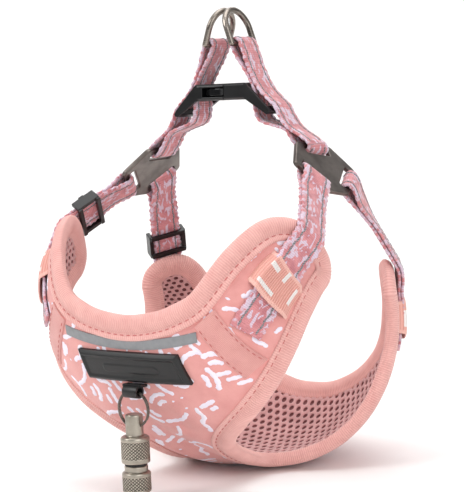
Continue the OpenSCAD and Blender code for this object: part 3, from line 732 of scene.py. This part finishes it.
def binding(name, k0, k1, flange, stands_for):
    l0, l1 = np.interp([k0, k1], dense, edge_len)
    n = int((l1 - l0) / (RIB / 4))
    n -= n % 4
    at = np.linspace(l0, l1, n + 1)
    k = np.interp(at, edge_len, dense)
    p, x = edge_q(k)
    pos, up = on_bowl(p, x), normal(p, x)
    run = unit(on_bowl(*edge_q(k + 0.7)) - on_bowl(*edge_q(k - 0.7)))
    side = np.cross(run, up)
    prof = section(flange)
    rib = 0.075 * np.cos(2 * math.pi * (at - l0) / RIB) + 0.10 * np.sin(at * 0.23) * np.sin(at * 0.11)
    reach = np.hypot(prof[:, 0] + 0.8, prof[:, 1])
    grow = 1 + rib[:, None] / np.maximum(reach[None], 2.5)
    s = prof[None, :, 0] * np.where(prof[None, :, 0] < 3, grow, 1)
    h = prof[None, :, 1] * grow
    v = pos[:, None] + side[:, None] * s[..., None] + up[:, None] * h[..., None]
    around = np.concatenate([[0], np.cumsum(np.linalg.norm(np.diff(prof, axis=0), axis=1))])
    uv = np.stack(np.broadcast_arrays(around[None], at[:, None] - l0 + RIB / 4), -1)
    soup = Soup()
    m = len(prof)
    ends = [list(range(m - 1, -1, -1)), [n * m + j for j in range(m)]]
    soup.add(v, strip_faces(n + 1, m, wrap_m=True) + ends, uv)
    line = pos + side * 3.75 + up * 2.2
    stitch(soup, line, up, 3.7, 2.3, 0.62, 0.62, 1, 2.0)
    return soup.make(name, [BINDING, SEAM], "vest", stands_for)


binding("neck_roll", 0, 44, 6.4, ("neck_binding",))
binding("armhole_roll_right", 44, 88, 5.9, ("armhole_binding_right",))
binding("rear_roll", 88, 132, 6.4, ("rear_binding",))
binding("armhole_roll_left", 132, 176, 5.9, ("armhole_binding_left",))


# -------------------- patches sewn to the vest
def patch_q(corners, nu, nv):
    """(p, x) grid: rows from the side a-b to the side d-c."""
    a, b, c, d = (np.array(k, float) for k in corners)
    u, v = np.meshgrid(np.linspace(0, 1, nu), np.linspace(0, 1, nv))
    q = mix(mix(a, d, v[..., None]), mix(b, c, v[..., None]), u[..., None])
    return q[..., 0], q[..., 1], u, v


def size_uv(p, x, u, v):
    """Texture coordinates of a patch in its own mm."""
    pts = on_bowl(p, x)
    wide = np.mean(np.sum(np.linalg.norm(np.diff(pts, axis=1), axis=-1), 1))
    tall = np.mean(np.sum(np.linalg.norm(np.diff(pts, axis=0), axis=-1), 0))
    return u * wide, v * tall


strip = Soup()
xs = np.linspace(-36.5, 36.5, 90)
ks = np.linspace(0, 3.2, 7)
stx, stk = np.meshgrid(xs, ks)
stp = 1.3 - 0.0024 * stx ** 2 + stk
round_off = 0.12 * (1 - np.abs(stk / 1.6 - 1) ** 6)
strip_top = skin(stp, stx, ON_SHELL + 0.25 + round_off)
closed_sheet(strip, strip_top, skin(stp, stx, 1.85), flat(stp, stx))
strip.make("reflective_trim", [TAPE], "vest", ("reflective_strip",))


def badge():
    """Rubber badge: bevelled rim, sunk field and a low plain bar."""
    c = [[5.2, -29], [5.2, 26.5], [15.3, 30], [15.3, -27]]
    nu, nv = 150, 44
    p, x, u, v = patch_q(c, nu, nv)
    uu, vv_ = size_uv(p, x, u, v)
    w, t = uu.max(), vv_.max()
    edge = np.minimum(np.minimum(uu, w - uu), np.minimum(vv_, t - vv_))
    rise = np.interp(edge, [0, 0.25, 1.5, 2.0, 2.3, 3.0, 3.3], [1.5, 1.75, 2.75, 2.8, 2.72, 2.1, 2.05])
    bar = np.hypot(np.maximum(np.abs(uu - w * 0.5) - w * 0.24, 0), vv_ - t * 0.52)
    rise = rise + 0.35 * ease((2.1 - bar) / 0.5)
    soup = Soup()
    closed_sheet(soup, skin(p, x, ON_SHELL + rise), skin(p, x, 1.7), np.stack([uu, vv_], -1))
    return soup.make("badge_plate", [RUBBER], "vest", ("badge",))


badge()


def mirror_q(corners, f):
    return corners if f > 0 else [[q[0], -q[1]] for q in (corners[1], corners[0], corners[3], corners[2])]


BAND_C = [[-3.4, 36.3], [-9, 44.8], [9.3, 60.2], [15, 51.6]]
for f, tag in ((1, "right"), (-1, "left")):
    p, x, u, v = patch_q(mirror_q(BAND_C, f), 24, 70)
    uu, vv_ = size_uv(p, x, u, v)
    w = uu.max()
    edge = np.minimum(uu, w - uu)
    h = ON_SHELL + np.interp(edge, [0, 0.4, 1.2, 1.6, 2.2], [0.35, 0.7, 0.85, 0.72, 0.98])
    band = Soup()
    closed_sheet(band, skin(p, x, h), skin(p, x, 1.7), np.stack([uu, vv_], -1))
    for col in (2, 21):
        line = skin(p, x, h + 0.03)[:, col]
        stitch(band, line, normal(p, x)[:, col], 3.4, 2.1, 0.5, 0.4, 1, 1)
    band.make("lobe_band_" + tag, [BAND, SEAM], "vest", ("front_band_" + tag,))


# -------------------- plates and strap paths
PLATE_C = np.array([51.0, 0, 144])
LEAN = 38.7
UP_DIR = np.array([-sind(LEAN), 0, cosd(LEAN)])
OUT_DIR = np.array([cosd(LEAN), 0, sind(LEAN)])
TURN = {"right": -12, "left": 2}
LOW_BAR, LOW_RUN, LOW_SLOT = (12.99, -8.04), (0.723, 0.690), (10.745, -5.693)
HEAD_Y, BAR, SLOT_W, SLOT_L = 13.5, 2.7, 3.8, 17.2
BAR_TURN, WEB_W, WEB_T, PLY, CORD_AT = 2.85, 15.0, 1.5, 1.7, 4.6
FRONT_PATH = [[-1.8, 54.8], [-12, 60.6], [-24, 64.4], [-39.5, 66.2]]
REAR_PATH = [[152, 65.0], [167, 65.0], [182, 65.0], [198.5, 65.2]]
EXIT = {"front": (-43.5, 66.2), "rear": (204.0, 64.8)}
END = {"front": -1, "rear": 1}
FLIP = np.array([-1.0, 1, 1])


def plate_a(t):
    return np.array([0, cosd(t), 0]) + UP_DIR * sind(t)


def plate_b(t):
    return np.array([0, -sind(t), 0]) + UP_DIR * cosd(t)


def on_plate(t, a, b):
    return PLATE_C + plate_a(t) * a + plate_b(t) * b


def handed(v, tag):
    return v * FLIP if tag == "left" else v


def lace(soup, c, w, closed=False, seed=0.0, v0=0.0):
    """Webbing along c with its width along w: wavy selvages, rounded section, twisted cords."""
    (c, w), at = resample(c, 0.55, w, closed=closed)
    n = len(c)
    run = unit(np.roll(c, -1, 0) - np.roll(c, 1, 0)) if closed else unit(np.gradient(c, axis=0))
    w = unit(w - run * np.sum(w * run, -1, keepdims=True))
    up = np.cross(w, run)
    us = np.array([-1, -0.9, -0.72, -0.613, -0.5, -0.25, 0, 0.25, 0.5, 0.613, 0.72, 0.9, 1])
    hs = np.array([0.55, 0.92, 1.0, 0.84, 1.0, 1.03, 1.04, 1.03, 1.0, 0.84, 1.0, 0.92, 0.55])
    us = np.concatenate([us, us[::-1]])
    hs = np.concatenate([hs, -hs[::-1]])
    turns = at[:n] * 2 * math.pi
    wave = 0.34 * np.sin(turns / 3.1 + seed) + 0.16 * np.sin(turns / 7.3 + 2 * seed)
    wave2 = 0.30 * np.sin(turns / 3.3 + seed + 2) + 0.16 * np.sin(turns / 6.1 + seed)
    half = WEB_W / 2
    u = us[None] * half
    u = u + np.where(us[None] > 0.85, wave[:, None], 0) + np.where(us[None] < -0.85, wave2[:, None], 0)
    ripple = 0.07 * np.sin(turns[:, None] / 3.1 + seed + us[None] * 3) * (np.abs(us[None]) > 0.4)
    h = hs[None] * WEB_T / 2 + ripple
    v = c[:, None] + w[:, None] * u[..., None] + up[:, None] * h[..., None]
    uv = np.stack(np.broadcast_arrays(us[None] * half, at[:n, None] + v0 + seed * 37), -1)
    m = len(us)
    faces = strip_faces(n, m, wrap_n=closed, wrap_m=True)
    if not closed:
        faces += [list(range(m - 1, -1, -1)), [(n - 1) * m + j for j in range(m)]]
    soup.add(v, faces, uv, 0)
    for side in (1, -1):
        for cord in (-CORD_AT, CORD_AT):
            sway = cord + 0.2 * np.sin(turns / 6.2 + seed * 3 + cord)
            line = c + w * sway[:, None] + up * side * WEB_T * 0.46
            stitch(soup, line, up * side, 2.9, 3.1, 0.95, 0.6, 1, 1.0)


def side_path(tag, end):
    """Centre line and width direction of one strap: vest, plate bar and back."""
    t, s, (ep, ex) = TURN[tag], END[end], EXIT[end]
    path = FRONT_PATH if end == "front" else REAR_PATH
    e = skin(ep, ex, 6.8)
    f = on_plate(t, s * LOW_BAR[0], LOW_BAR[1])
    d = unit(f - e)
    long = np.linalg.norm(f - e)
    wb = unit(plate_a(t) * LOW_RUN[0] + plate_b(t) * s * LOW_RUN[1])
    we = unit(np.cross(d, normal(ep, ex)))
    us = np.linspace(0, 1, 29)
    ws = unit(mix(we, wb, ease((us - 0.5) * 3)[:, None]))
    gs = mix(PLY / 2, BAR_TURN, ease(1 - (1 - us) * long / 13))
    mid = mix(e, f, us[:, None])
    outer = mid + unit(np.cross(ws, d)) * gs[:, None]
    inner = mid - unit(np.cross(ws, d)) * gs[:, None]
    nb = unit(np.cross(wb, d))
    ks = np.radians(np.arange(1, 12) * 15)
    arc = f + BAR_TURN * (nb * np.cos(ks)[:, None] + d * np.sin(ks)[:, None])
    fs = np.linspace(0, 0.97, 24)
    tp, tx = (smooth([q[k] for q in path], fs) for k in (0, 1))
    tw = unit(np.cross(normal(tp, tx), np.gradient(on_bowl(tp, tx), axis=0)))
    if np.dot(tw[-1], we) < 0:
        tw = -tw
    rise = np.interp(fs, [0, 0.40, 0.56, 0.78, 0.9, 1], [2.8, 2.8, 4.4, 4.5, 5.3, 6.6])
    low = np.interp(fs, [0, 0.62, 0.85, 1], [2.8, 2.8, 3.2, 4.6])
    tail = skin(tp, tx, rise)
    under = skin(tp, tx, low)[fs > 0.6][::-1]
    c = np.concatenate([tail, outer[1:], arc, inner[::-1][:-1], under])
    w = np.concatenate([tw, ws[1:], np.repeat(wb[None], len(arc), 0), ws[::-1][:-1], tw[fs > 0.6][::-1]])
    (c, w), _ = resample(c, 0.8, w)
    c, w = relax(c, 6, hold=2), unit(relax(w, 12, hold=1))
    return [handed(k, tag) for k in (c, w, e, d)]


for tag in ("right", "left"):
    for end in ("front", "rear"):
        c, w, e, d = side_path(tag, end)
        soup = Soup()
        lace(soup, c, w, seed=1.3 * len(tag) + len(end), v0=40.0 * len(end))
        o = soup.make(f"side_webbing_{end}_{tag}", [WEBBING, CORD], None,
                      (f"{end}_tail_{tag}", f"{end}_strap_{tag}"))
        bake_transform(o)

RING_BAR = np.array([7.7, 0, 204])
RING_TURN = 2.5
UPPER_OUT = [BAR_TURN, 2.1, 0.87, 1.5, 3.1, 1.9, 0.87, 0.87, 1.2, 2.2, RING_TURN]
UPPER_IN = [BAR_TURN, 2.1, 0.87, 4.2, 8, 6.3, 1.8, 0.87, 1.2, 2.2, RING_TURN]


def upper_path(tag):
    t = TURN[tag]
    foot = on_plate(t, 0, HEAD_Y - BAR / 2)
    base = np.array([foot[0], 0, foot[2]])
    d = unit(RING_BAR - base)
    us = np.linspace(0, 1, 53)
    ws = unit(mix(plate_a(t), np.array([0, 1.0, 0]), ease(us * 2.6)[:, None]))
    bow = np.cross(d, [0, 1, 0]) * 3.6
    mid = mix(base, RING_BAR, us[:, None]) + bow * sind(180 * us)[:, None]
    mid[:, 1] += foot[1] * (1 - ease(us * 2.6))
    ns = unit(np.cross(ws, d))
    outer = mid + ns * np.maximum(PLY / 2, smooth(UPPER_OUT, us))[:, None]
    inner = mid - ns * np.maximum(PLY / 2, smooth(UPPER_IN, us))[:, None]
    ks = np.radians(np.arange(1, 12) * 15)
    top = mid[-1] + RING_TURN * (ns[-1] * np.cos(ks)[:, None] + d * np.sin(ks)[:, None])
    low = mid[0] - BAR_TURN * (ns[0] * np.cos(ks)[:, None] + d * np.sin(ks)[:, None])
    c = np.concatenate([outer, top, inner[::-1], low])
    w = np.concatenate([ws, np.repeat(ws[-1:], len(ks), 0), ws[::-1], np.repeat(ws[:1], len(ks), 0)])
    (c, w), _ = resample(c, 0.8, w, closed=True)
    return handed(relax(c, 3, closed=True), tag), handed(unit(relax(w, 6, closed=True)), tag)


for tag in ("right", "left"):
    c, w = upper_path(tag)
    soup = Soup()
    lace(soup, c, w, closed=True, seed=0.7 + len(tag))
    soup.make("upper_webbing_" + tag, [WEBBING, CORD], "upper_" + tag, ("upper_strap_" + tag,))


# -------------------- keepers
KEEPER_FOOT, KEEPER_TOP = 2.3, 6.0


def keeper(name, corners, stands_for, bars):
    """Ribbed tape bridging a strap, with woven bars; u runs along the strap, v across it."""
    nu, nv = 40, 190
    p, x, u, v = patch_q(corners, nu, nv)
    uu, vv_ = size_uv(p, x, u, v)
    w = uu.max()
    lift = mix(KEEPER_FOOT, KEEPER_TOP, np.minimum(ease(v / 0.19), ease((1 - v) / 0.19)))
    rib = 0.12 * np.cos(2 * math.pi * vv_ / TAPE_RIB)
    edge = np.minimum(uu, w - uu)
    roll = np.interp(edge, [0, 0.3, 1.0, 1.4], [-0.25, 0, 0.05, 0])
    h = lift + rib * (edge > 1.3) + roll
    uv = np.stack([vv_, uu / w * TAPE_W], -1)
    soup = Soup()
    closed_sheet(soup, skin(p, x, h), skin(p, x, lift - 0.75), uv)
    for a0, a1, b0, b1 in bars:
        iu = (u >= a0) & (u <= a1)
        iv = (v >= b0) & (v <= b1)
        cols = np.where(iu[0])[0]
        rows = np.where(iv[:, 0])[0]
        if len(cols) > 1 and len(rows) > 1:
            sub = np.ix_(rows, cols)
            lifted = skin(p[sub], x[sub], h[sub] + 0.06)
            closed_sheet(soup, lifted, skin(p[sub], x[sub], h[sub] - 0.1), uv[sub], 1)
    return soup.make(name, [KEEPER, KEEPER_BAR], "vest", stands_for)


FRONT_KEEPER = [[-19.5, 55.6], [-32, 61.2], [-19.5, 68.9], [-6, 65.9]]
REAR_KEEPER = [[184, 59.8], [160, 59.2], [160, 69.8], [184, 69.8]]
BARS = ((0.14, 0.28, 0.12, 0.52), (0.66, 0.80, 0.14, 0.36), (0.62, 0.96, 0.50, 0.58),
        (0.30, 0.80, 0.80, 0.88))
for f, tag in ((1, "right"), (-1, "left")):
    keeper("strap_keeper_front_" + tag, mirror_q(FRONT_KEEPER, f), ("front_keeper_" + tag,), BARS)
    keeper("strap_keeper_rear_" + tag, mirror_q(REAR_KEEPER, f), ("rear_keeper_" + tag,), BARS)


# -------------------- strap plates
def hull(points):
    pts = sorted(map(tuple, points))
    out = []
    for seq in (pts, pts[::-1]):
        chain = []
        for q in seq:
            while len(chain) > 1 and ((chain[-1][0] - chain[-2][0]) * (q[1] - chain[-2][1])
                                      - (chain[-1][1] - chain[-2][1]) * (q[0] - chain[-2][0])) <= 0:
                chain.pop()
            chain.append(q)
        out += chain[:-1]
    return np.array(out)


def rounded_slot(at, turn, long, wide, r):
    pts = []
    for sx_, sy_, k0 in ((1, 1, 0), (-1, 1, 90), (-1, -1, 180), (1, -1, 270)):
        for k in range(0, 91, 15):
            pts.append((sx_ * (long / 2 - r) + r * cosd(k0 + k), sy_ * (wide / 2 - r) + r * sind(k0 + k)))
    pts = np.array(pts)
    c, s = cosd(turn), sind(turn)
    return np.stack([at[0] + pts[:, 0] * c - pts[:, 1] * s, at[1] + pts[:, 0] * s + pts[:, 1] * c], -1)


def cut_sheet(name, loops, thick, soft, place, mats, body, stands_for):
    """A flat plate with holes and softened edges, from closed outlines in mm."""
    curve = bpy.data.curves.new(name, "CURVE")
    curve.dimensions = "2D"
    curve.fill_mode = "BOTH"
    curve.extrude = (thick / 2 - soft) * MM
    curve.bevel_depth = soft * MM
    curve.bevel_resolution = 3
    curve.offset = -soft * MM
    for loop in loops:
        sp_ = curve.splines.new("POLY")
        sp_.points.add(len(loop) - 1)
        for k, q in enumerate(loop):
            sp_.points[k].co = (q[0] * MM, q[1] * MM, 0, 1)
        sp_.use_cyclic_u = True
    tmp = bpy.data.objects.new(name, curve)
    show(tmp)
    bpy.context.view_layer.update()
    mesh = bpy.data.meshes.new_from_object(tmp.evaluated_get(bpy.context.evaluated_depsgraph_get()))
    bpy.data.objects.remove(tmp)
    bpy.data.curves.remove(curve)
    mesh.transform(place)
    if place.determinant() < 0:
        mesh.flip_normals()
    mesh.name = name
    mesh.materials.clear()
    for mat in mats:
        mesh.materials.append(mat)
    o = bpy.data.objects.new(name, mesh)
    show(o)
    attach(o, body)
    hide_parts(*stands_for)
    return o


corner = np.array([(3 * cosd(k), 3 * sind(k)) for k in range(0, 360, 9)])
PLATE_CORNERS = ((18.5, -0.5), (5.2, -13.2), (10.5, 10.5))
outline = hull(np.concatenate([corner + (s * a, b) for s in (-1, 1) for a, b in PLATE_CORNERS]))
low_turn = math.degrees(math.atan2(LOW_RUN[1], LOW_RUN[0]))
slots = [rounded_slot((0, HEAD_Y - BAR - SLOT_W / 2), 0, SLOT_L, SLOT_W, 1.1),
         rounded_slot(LOW_SLOT, low_turn, SLOT_L, SLOT_W, 1.1),
         rounded_slot((-LOW_SLOT[0], LOW_SLOT[1]), -low_turn, SLOT_L, SLOT_W, 1.1)]
for tag in ("right", "left"):
    t = TURN[tag]
    a, b = plate_a(t), plate_b(t)
    rows = np.eye(4)
    rows[:3, 0], rows[:3, 1], rows[:3, 2], rows[:3, 3] = a, b, OUT_DIR, PLATE_C * MM
    if tag == "left":
        rows = np.diag([-1.0, 1, 1, 1]) @ rows
    cut_sheet("strap_plate_" + tag, [outline, *slots], 2.4, 0.55, Matrix(rows.tolist()), [NICKEL],
              "side_" + tag, ("plate_" + tag,))


# -------------------- chest ring and capsule
def tube(soup, c, up, r, sides=14):
    n = len(c)
    side = unit(np.cross(unit(np.gradient(c, axis=0)), up))
    nor = np.cross(side, unit(np.gradient(c, axis=0)))
    k = np.arange(sides) * 2 * math.pi / sides
    r = np.broadcast_to(r, n)[:, None, None]
    v = c[:, None] + r * (side[:, None] * np.cos(k)[None, :, None] + nor[:, None] * np.sin(k)[None, :, None])
    ends = [list(range(sides - 1, -1, -1)), [(n - 1) * sides + j for j in range(sides)]]
    uv = np.stack(np.broadcast_arrays(k[None] * 2, lengths(c)[:, None]), -1)
    soup.add(v, strip_faces(n, sides, wrap_m=True) + ends, uv)


HANG_Y, SPLIT_Z, SPLIT_R, WIRE_R = -86.6, 40.85, 8.25, 0.47
k = np.linspace(0, 4 * math.pi, 193)
off = np.interp(k, [0, 1.75 * math.pi, 2.25 * math.pi, 4 * math.pi], [-0.42, -0.42, 0.42, 0.42])
coil = np.stack([SPLIT_R * np.sin(k + 2.2), HANG_Y + off, SPLIT_Z + SPLIT_R * np.cos(k + 2.2)], -1)
soup = Soup()
tip = np.interp(np.minimum(k, 4 * math.pi - k), [0, 0.06], [0.4, 1])
tube(soup, coil, np.array([0, 1.0, 0]), WIRE_R * tip)
soup.make("split_ring_coil", [RING], "split_ring", ("split_ring",))


def turned(soup, profile, knurls, n=240, count=24, deep=0.42, pitch=1.4375):
    """A turned body from (radius, height) pairs, with diamond knurling between the given heights."""
    prof = np.array(profile, float)
    ln = lengths(np.c_[prof, np.zeros(len(prof))])
    at = np.unique(np.concatenate([ln, np.arange(0, ln[-1], 0.22)]))
    r, z = np.interp(at, ln, prof[:, 0]), np.interp(at, ln, prof[:, 1])
    k = np.arange(n) * 2 * math.pi / n
    turn = k[None] * count / (2 * math.pi)
    out = np.zeros((len(at), n))
    cut = np.zeros((len(at), n))
    for z0, z1 in knurls:
        g1 = np.abs(np.mod(turn + z[:, None] / pitch, 1) * 2 - 1)
        g2 = np.abs(np.mod(turn - z[:, None] / pitch, 1) * 2 - 1)
        groove = np.maximum(1 - g1 * 2.0, 0) + np.maximum(1 - g2 * 2.0, 0)
        fade = ease((z[:, None] - z0) / 0.35) * ease((z1 - z[:, None]) / 0.35) * (r[:, None] > 6.2)
        cut = np.maximum(cut, np.minimum(groove, 1) * fade)
    out -= deep * cut
    rr = np.maximum(r[:, None] + out, 0.0)
    high = np.broadcast_to(z[:, None], rr.shape)
    v = np.stack([rr * np.cos(k)[None], HANG_Y + rr * np.sin(k)[None], high], -1)
    f = strip_faces(len(at), n, wrap_m=True)
    f += [list(range(n - 1, -1, -1)), [(len(at) - 1) * n + j for j in range(n)]]
    # texture u carries the knurl groove depth, which capsule_metal uses to paint shade into the grooves
    soup.add(v, f, np.stack([cut, high], -1))


def drill(o, at, r):
    """A round hole along X through a piece."""
    cut = Soup()
    tube(cut, np.array([[x, at[1], at[2]] for x in (-9.0, 0, 9)]), np.array([0, 0, 1.0]), r, sides=48)
    tool = cut.make("drill", [CAPSULE])
    mod = o.modifiers.new("bore", "BOOLEAN")
    mod.object, mod.solver, mod.operation = tool, "EXACT", "DIFFERENCE"
    bpy.context.view_layer.update()
    mesh = bpy.data.meshes.new_from_object(o.evaluated_get(bpy.context.evaluated_depsgraph_get()))
    o.modifiers.remove(mod)
    o.data = mesh
    bpy.data.objects.remove(tool)


# (radius, height) outlines of the two halves: hollow inside, knurled outside
CAP = [(0.02, 26.5), (4.25, 26.5), (4.25, 16.5), (5.9, 16.5), (6.3, 16.7), (6.5, 17.2), (6.5, 27.6),
       (6.3, 28.2), (5.6, 28.7), (4.3, 28.9), (4.0, 29.3), (4.0, 37.9), (3.8, 38.45), (3.2, 38.7),
       (0.02, 38.7)]
BARREL = [(0.02, 3.2), (5.6, 3.2), (6.25, 3.5), (6.5, 4.1), (6.5, 11.7), (6.3, 12.2), (5.8, 12.5),
          (5.4, 12.7), (5.3, 13.0), (5.3, 15.0), (5.0, 15.3), (4.1, 15.3), (4.1, 20.3), (2.6, 20.3),
          (2.6, 4.7), (0.02, 4.7)]
EYE_Z, EYE_R = 33.1, 1.75
soup = Soup()
turned(soup, CAP, [(18.6, 26.6)])
o = soup.make("capsule_cap_knurl", [CAPSULE], "capsule_cap", ("capsule_cap",))
drill(o, (0, HANG_Y, EYE_Z), EYE_R)
soup = Soup()
turned(soup, BARREL, [(4.4, 10.6)])
soup.make("capsule_barrel_knurl", [CAPSULE], "capsule_barrel", ("capsule_barrel",))

# -------------------- CAD nodes that stay
KEPT = {"badge_tab": (RUBBER, 0.35),
        "capsule_seal": (SEAL, 0), "address_slip": (PAPER, 0), "leash_ring_right": (RING, 0),
        "leash_ring_left": (RING, 0), "buckle_socket": (BLACK, 0.5), "buckle_plug": (BLACK, 0.5),
        "prong_front": (GLOSS, 0.45), "prong_rear": (GLOSS, 0.45), "front_slider": (BLACK, 0.9),
        "rear_slider": (BLACK, 0.9)}
for name, (mat, soft) in KEPT.items():
    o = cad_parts[name]
    o.data.materials.clear()
    o.data.materials.append(mat)
    if soft:
        weld = o.modifiers.new("weld", "WELD")
        weld.merge_threshold = 1e-6
        bev = o.modifiers.new("soft_edges", "BEVEL")
        bev.width = soft * MM
        bev.segments = 3
        bev.limit_method = "ANGLE"
        bev.angle_limit = math.radians(25)
        bev.harden_normals = True


# -------------------- studio
def cyclorama():
    """A curved sheet of paper, clear from outside so that it never hides the object."""
    prof = [(-0.9, 0.0), (0.55, 0.0)] + [(0.55 + 0.35 * math.sin(a), 0.35 - 0.35 * math.cos(a)) for a in
                                         np.linspace(0.1, math.pi / 2, 14)] + [(0.9, 1.6)]
    back = np.array([-math.sin(math.radians(35)), math.cos(math.radians(35)), 0])
    side = np.array([back[1], -back[0], 0])
    v = np.array([[back * y + side * s + (0, 0, z) for s in np.linspace(-2, 2, 9)] for y, z in prof])
    soup = Soup()
    soup.add(v / MM, strip_faces(len(prof), 9))
    g = Graph("studio_paper", "#f4f3f2", 0.9)
    g.set("Normal", g.bump(g.noise(g.place((1, 1, 1), "Object"), 300, 3), 0.02, 0.2))
    one_sided = g.node("MixShader")
    g.put(one_sided.inputs[0], g.node("NewGeometry").outputs["Backfacing"])
    g.put(one_sided.inputs[1], g.bsdf.outputs[0])
    g.put(one_sided.inputs[2], g.node("BsdfTransparent").outputs[0])
    g.put(g.tree.nodes["Material Output"].inputs["Surface"], one_sided.outputs[0])
    o = soup.make("studio_floor", [g.mat])


cyclorama()


def area(name, at, aim, size, power):
    light = bpy.data.lights.new(name, "AREA")
    light.shape = "RECTANGLE"
    light.size, light.size_y = size
    light.energy = power
    o = bpy.data.objects.new(name, light)
    o.location = at
    o.rotation_euler = (Vector(aim) - Vector(at)).to_track_quat("-Z", "Y").to_euler()
    show(o)


aim = (0, 0, 0.1)
area("key", (-0.55, -0.75, 0.75), aim, (0.5, 0.5), 5.6)
area("fill", (0.95, -0.55, 0.45), aim, (0.8, 0.8), 4.6)
area("top", (0.0, 0.1, 1.1), aim, (0.9, 0.9), 5.5)
area("back", (-0.5, 0.8, 0.6), aim, (0.6, 0.6), 3.5)

# the surroundings light from above, and the camera sees them white
world = bpy.data.worlds.new("studio")
world.use_nodes = True
tree = world.node_tree
sky = tree.nodes["Background"]
way, where, ramp, seen, blend = (tree.nodes.new("ShaderNode" + kind) for kind in
                                 ("SeparateXYZ", "TexCoord", "ValToRGB", "LightPath", "Mix"))
tree.links.new(where.outputs["Generated"], way.inputs[0])
for stop, place, colour in zip(ramp.color_ramp.elements, (0.0, 0.75), ((0.22, 0.22, 0.23, 1), (1, 1, 1, 1))):
    stop.position, stop.color = place, colour
tree.links.new(way.outputs[2], ramp.inputs[0])
blend.data_type = "RGBA"
blend.inputs[7].default_value = (1.5, 1.5, 1.5, 1)
tree.links.new(seen.outputs["Is Camera Ray"], blend.inputs[0])
tree.links.new(ramp.outputs[0], blend.inputs[6])
tree.links.new(blend.outputs[2], sky.inputs[0])
sky.inputs[1].default_value = 0.78
bpy.context.scene.world = world
bpy.context.scene.view_settings.view_transform = "Standard"

AZ, EL, ROLL, FAR = math.radians(35), math.radians(5), math.radians(-2.3), 0.8
back = Vector((math.sin(AZ) * math.cos(EL), -math.cos(AZ) * math.cos(EL), math.sin(EL)))
right = Vector((math.cos(AZ), math.sin(AZ), 0))
up = back.cross(right)
side = math.cos(ROLL) * right + math.sin(ROLL) * up
top = -math.sin(ROLL) * right + math.cos(ROLL) * up
eye = Vector((0, 0, 0.106)) + back * FAR
cam = bpy.data.cameras.new("camera")
cam.lens = 120
cam.shift_x = -0.0122
cam.clip_start = 0.01
shot = bpy.data.objects.new("camera", cam)
shot.matrix_world = Matrix(((side.x, top.x, back.x, eye.x), (side.y, top.y, back.y, eye.y),
                            (side.z, top.z, back.z, eye.z), (0, 0, 0, 1)))
show(shot)
bpy.context.scene.camera = shot
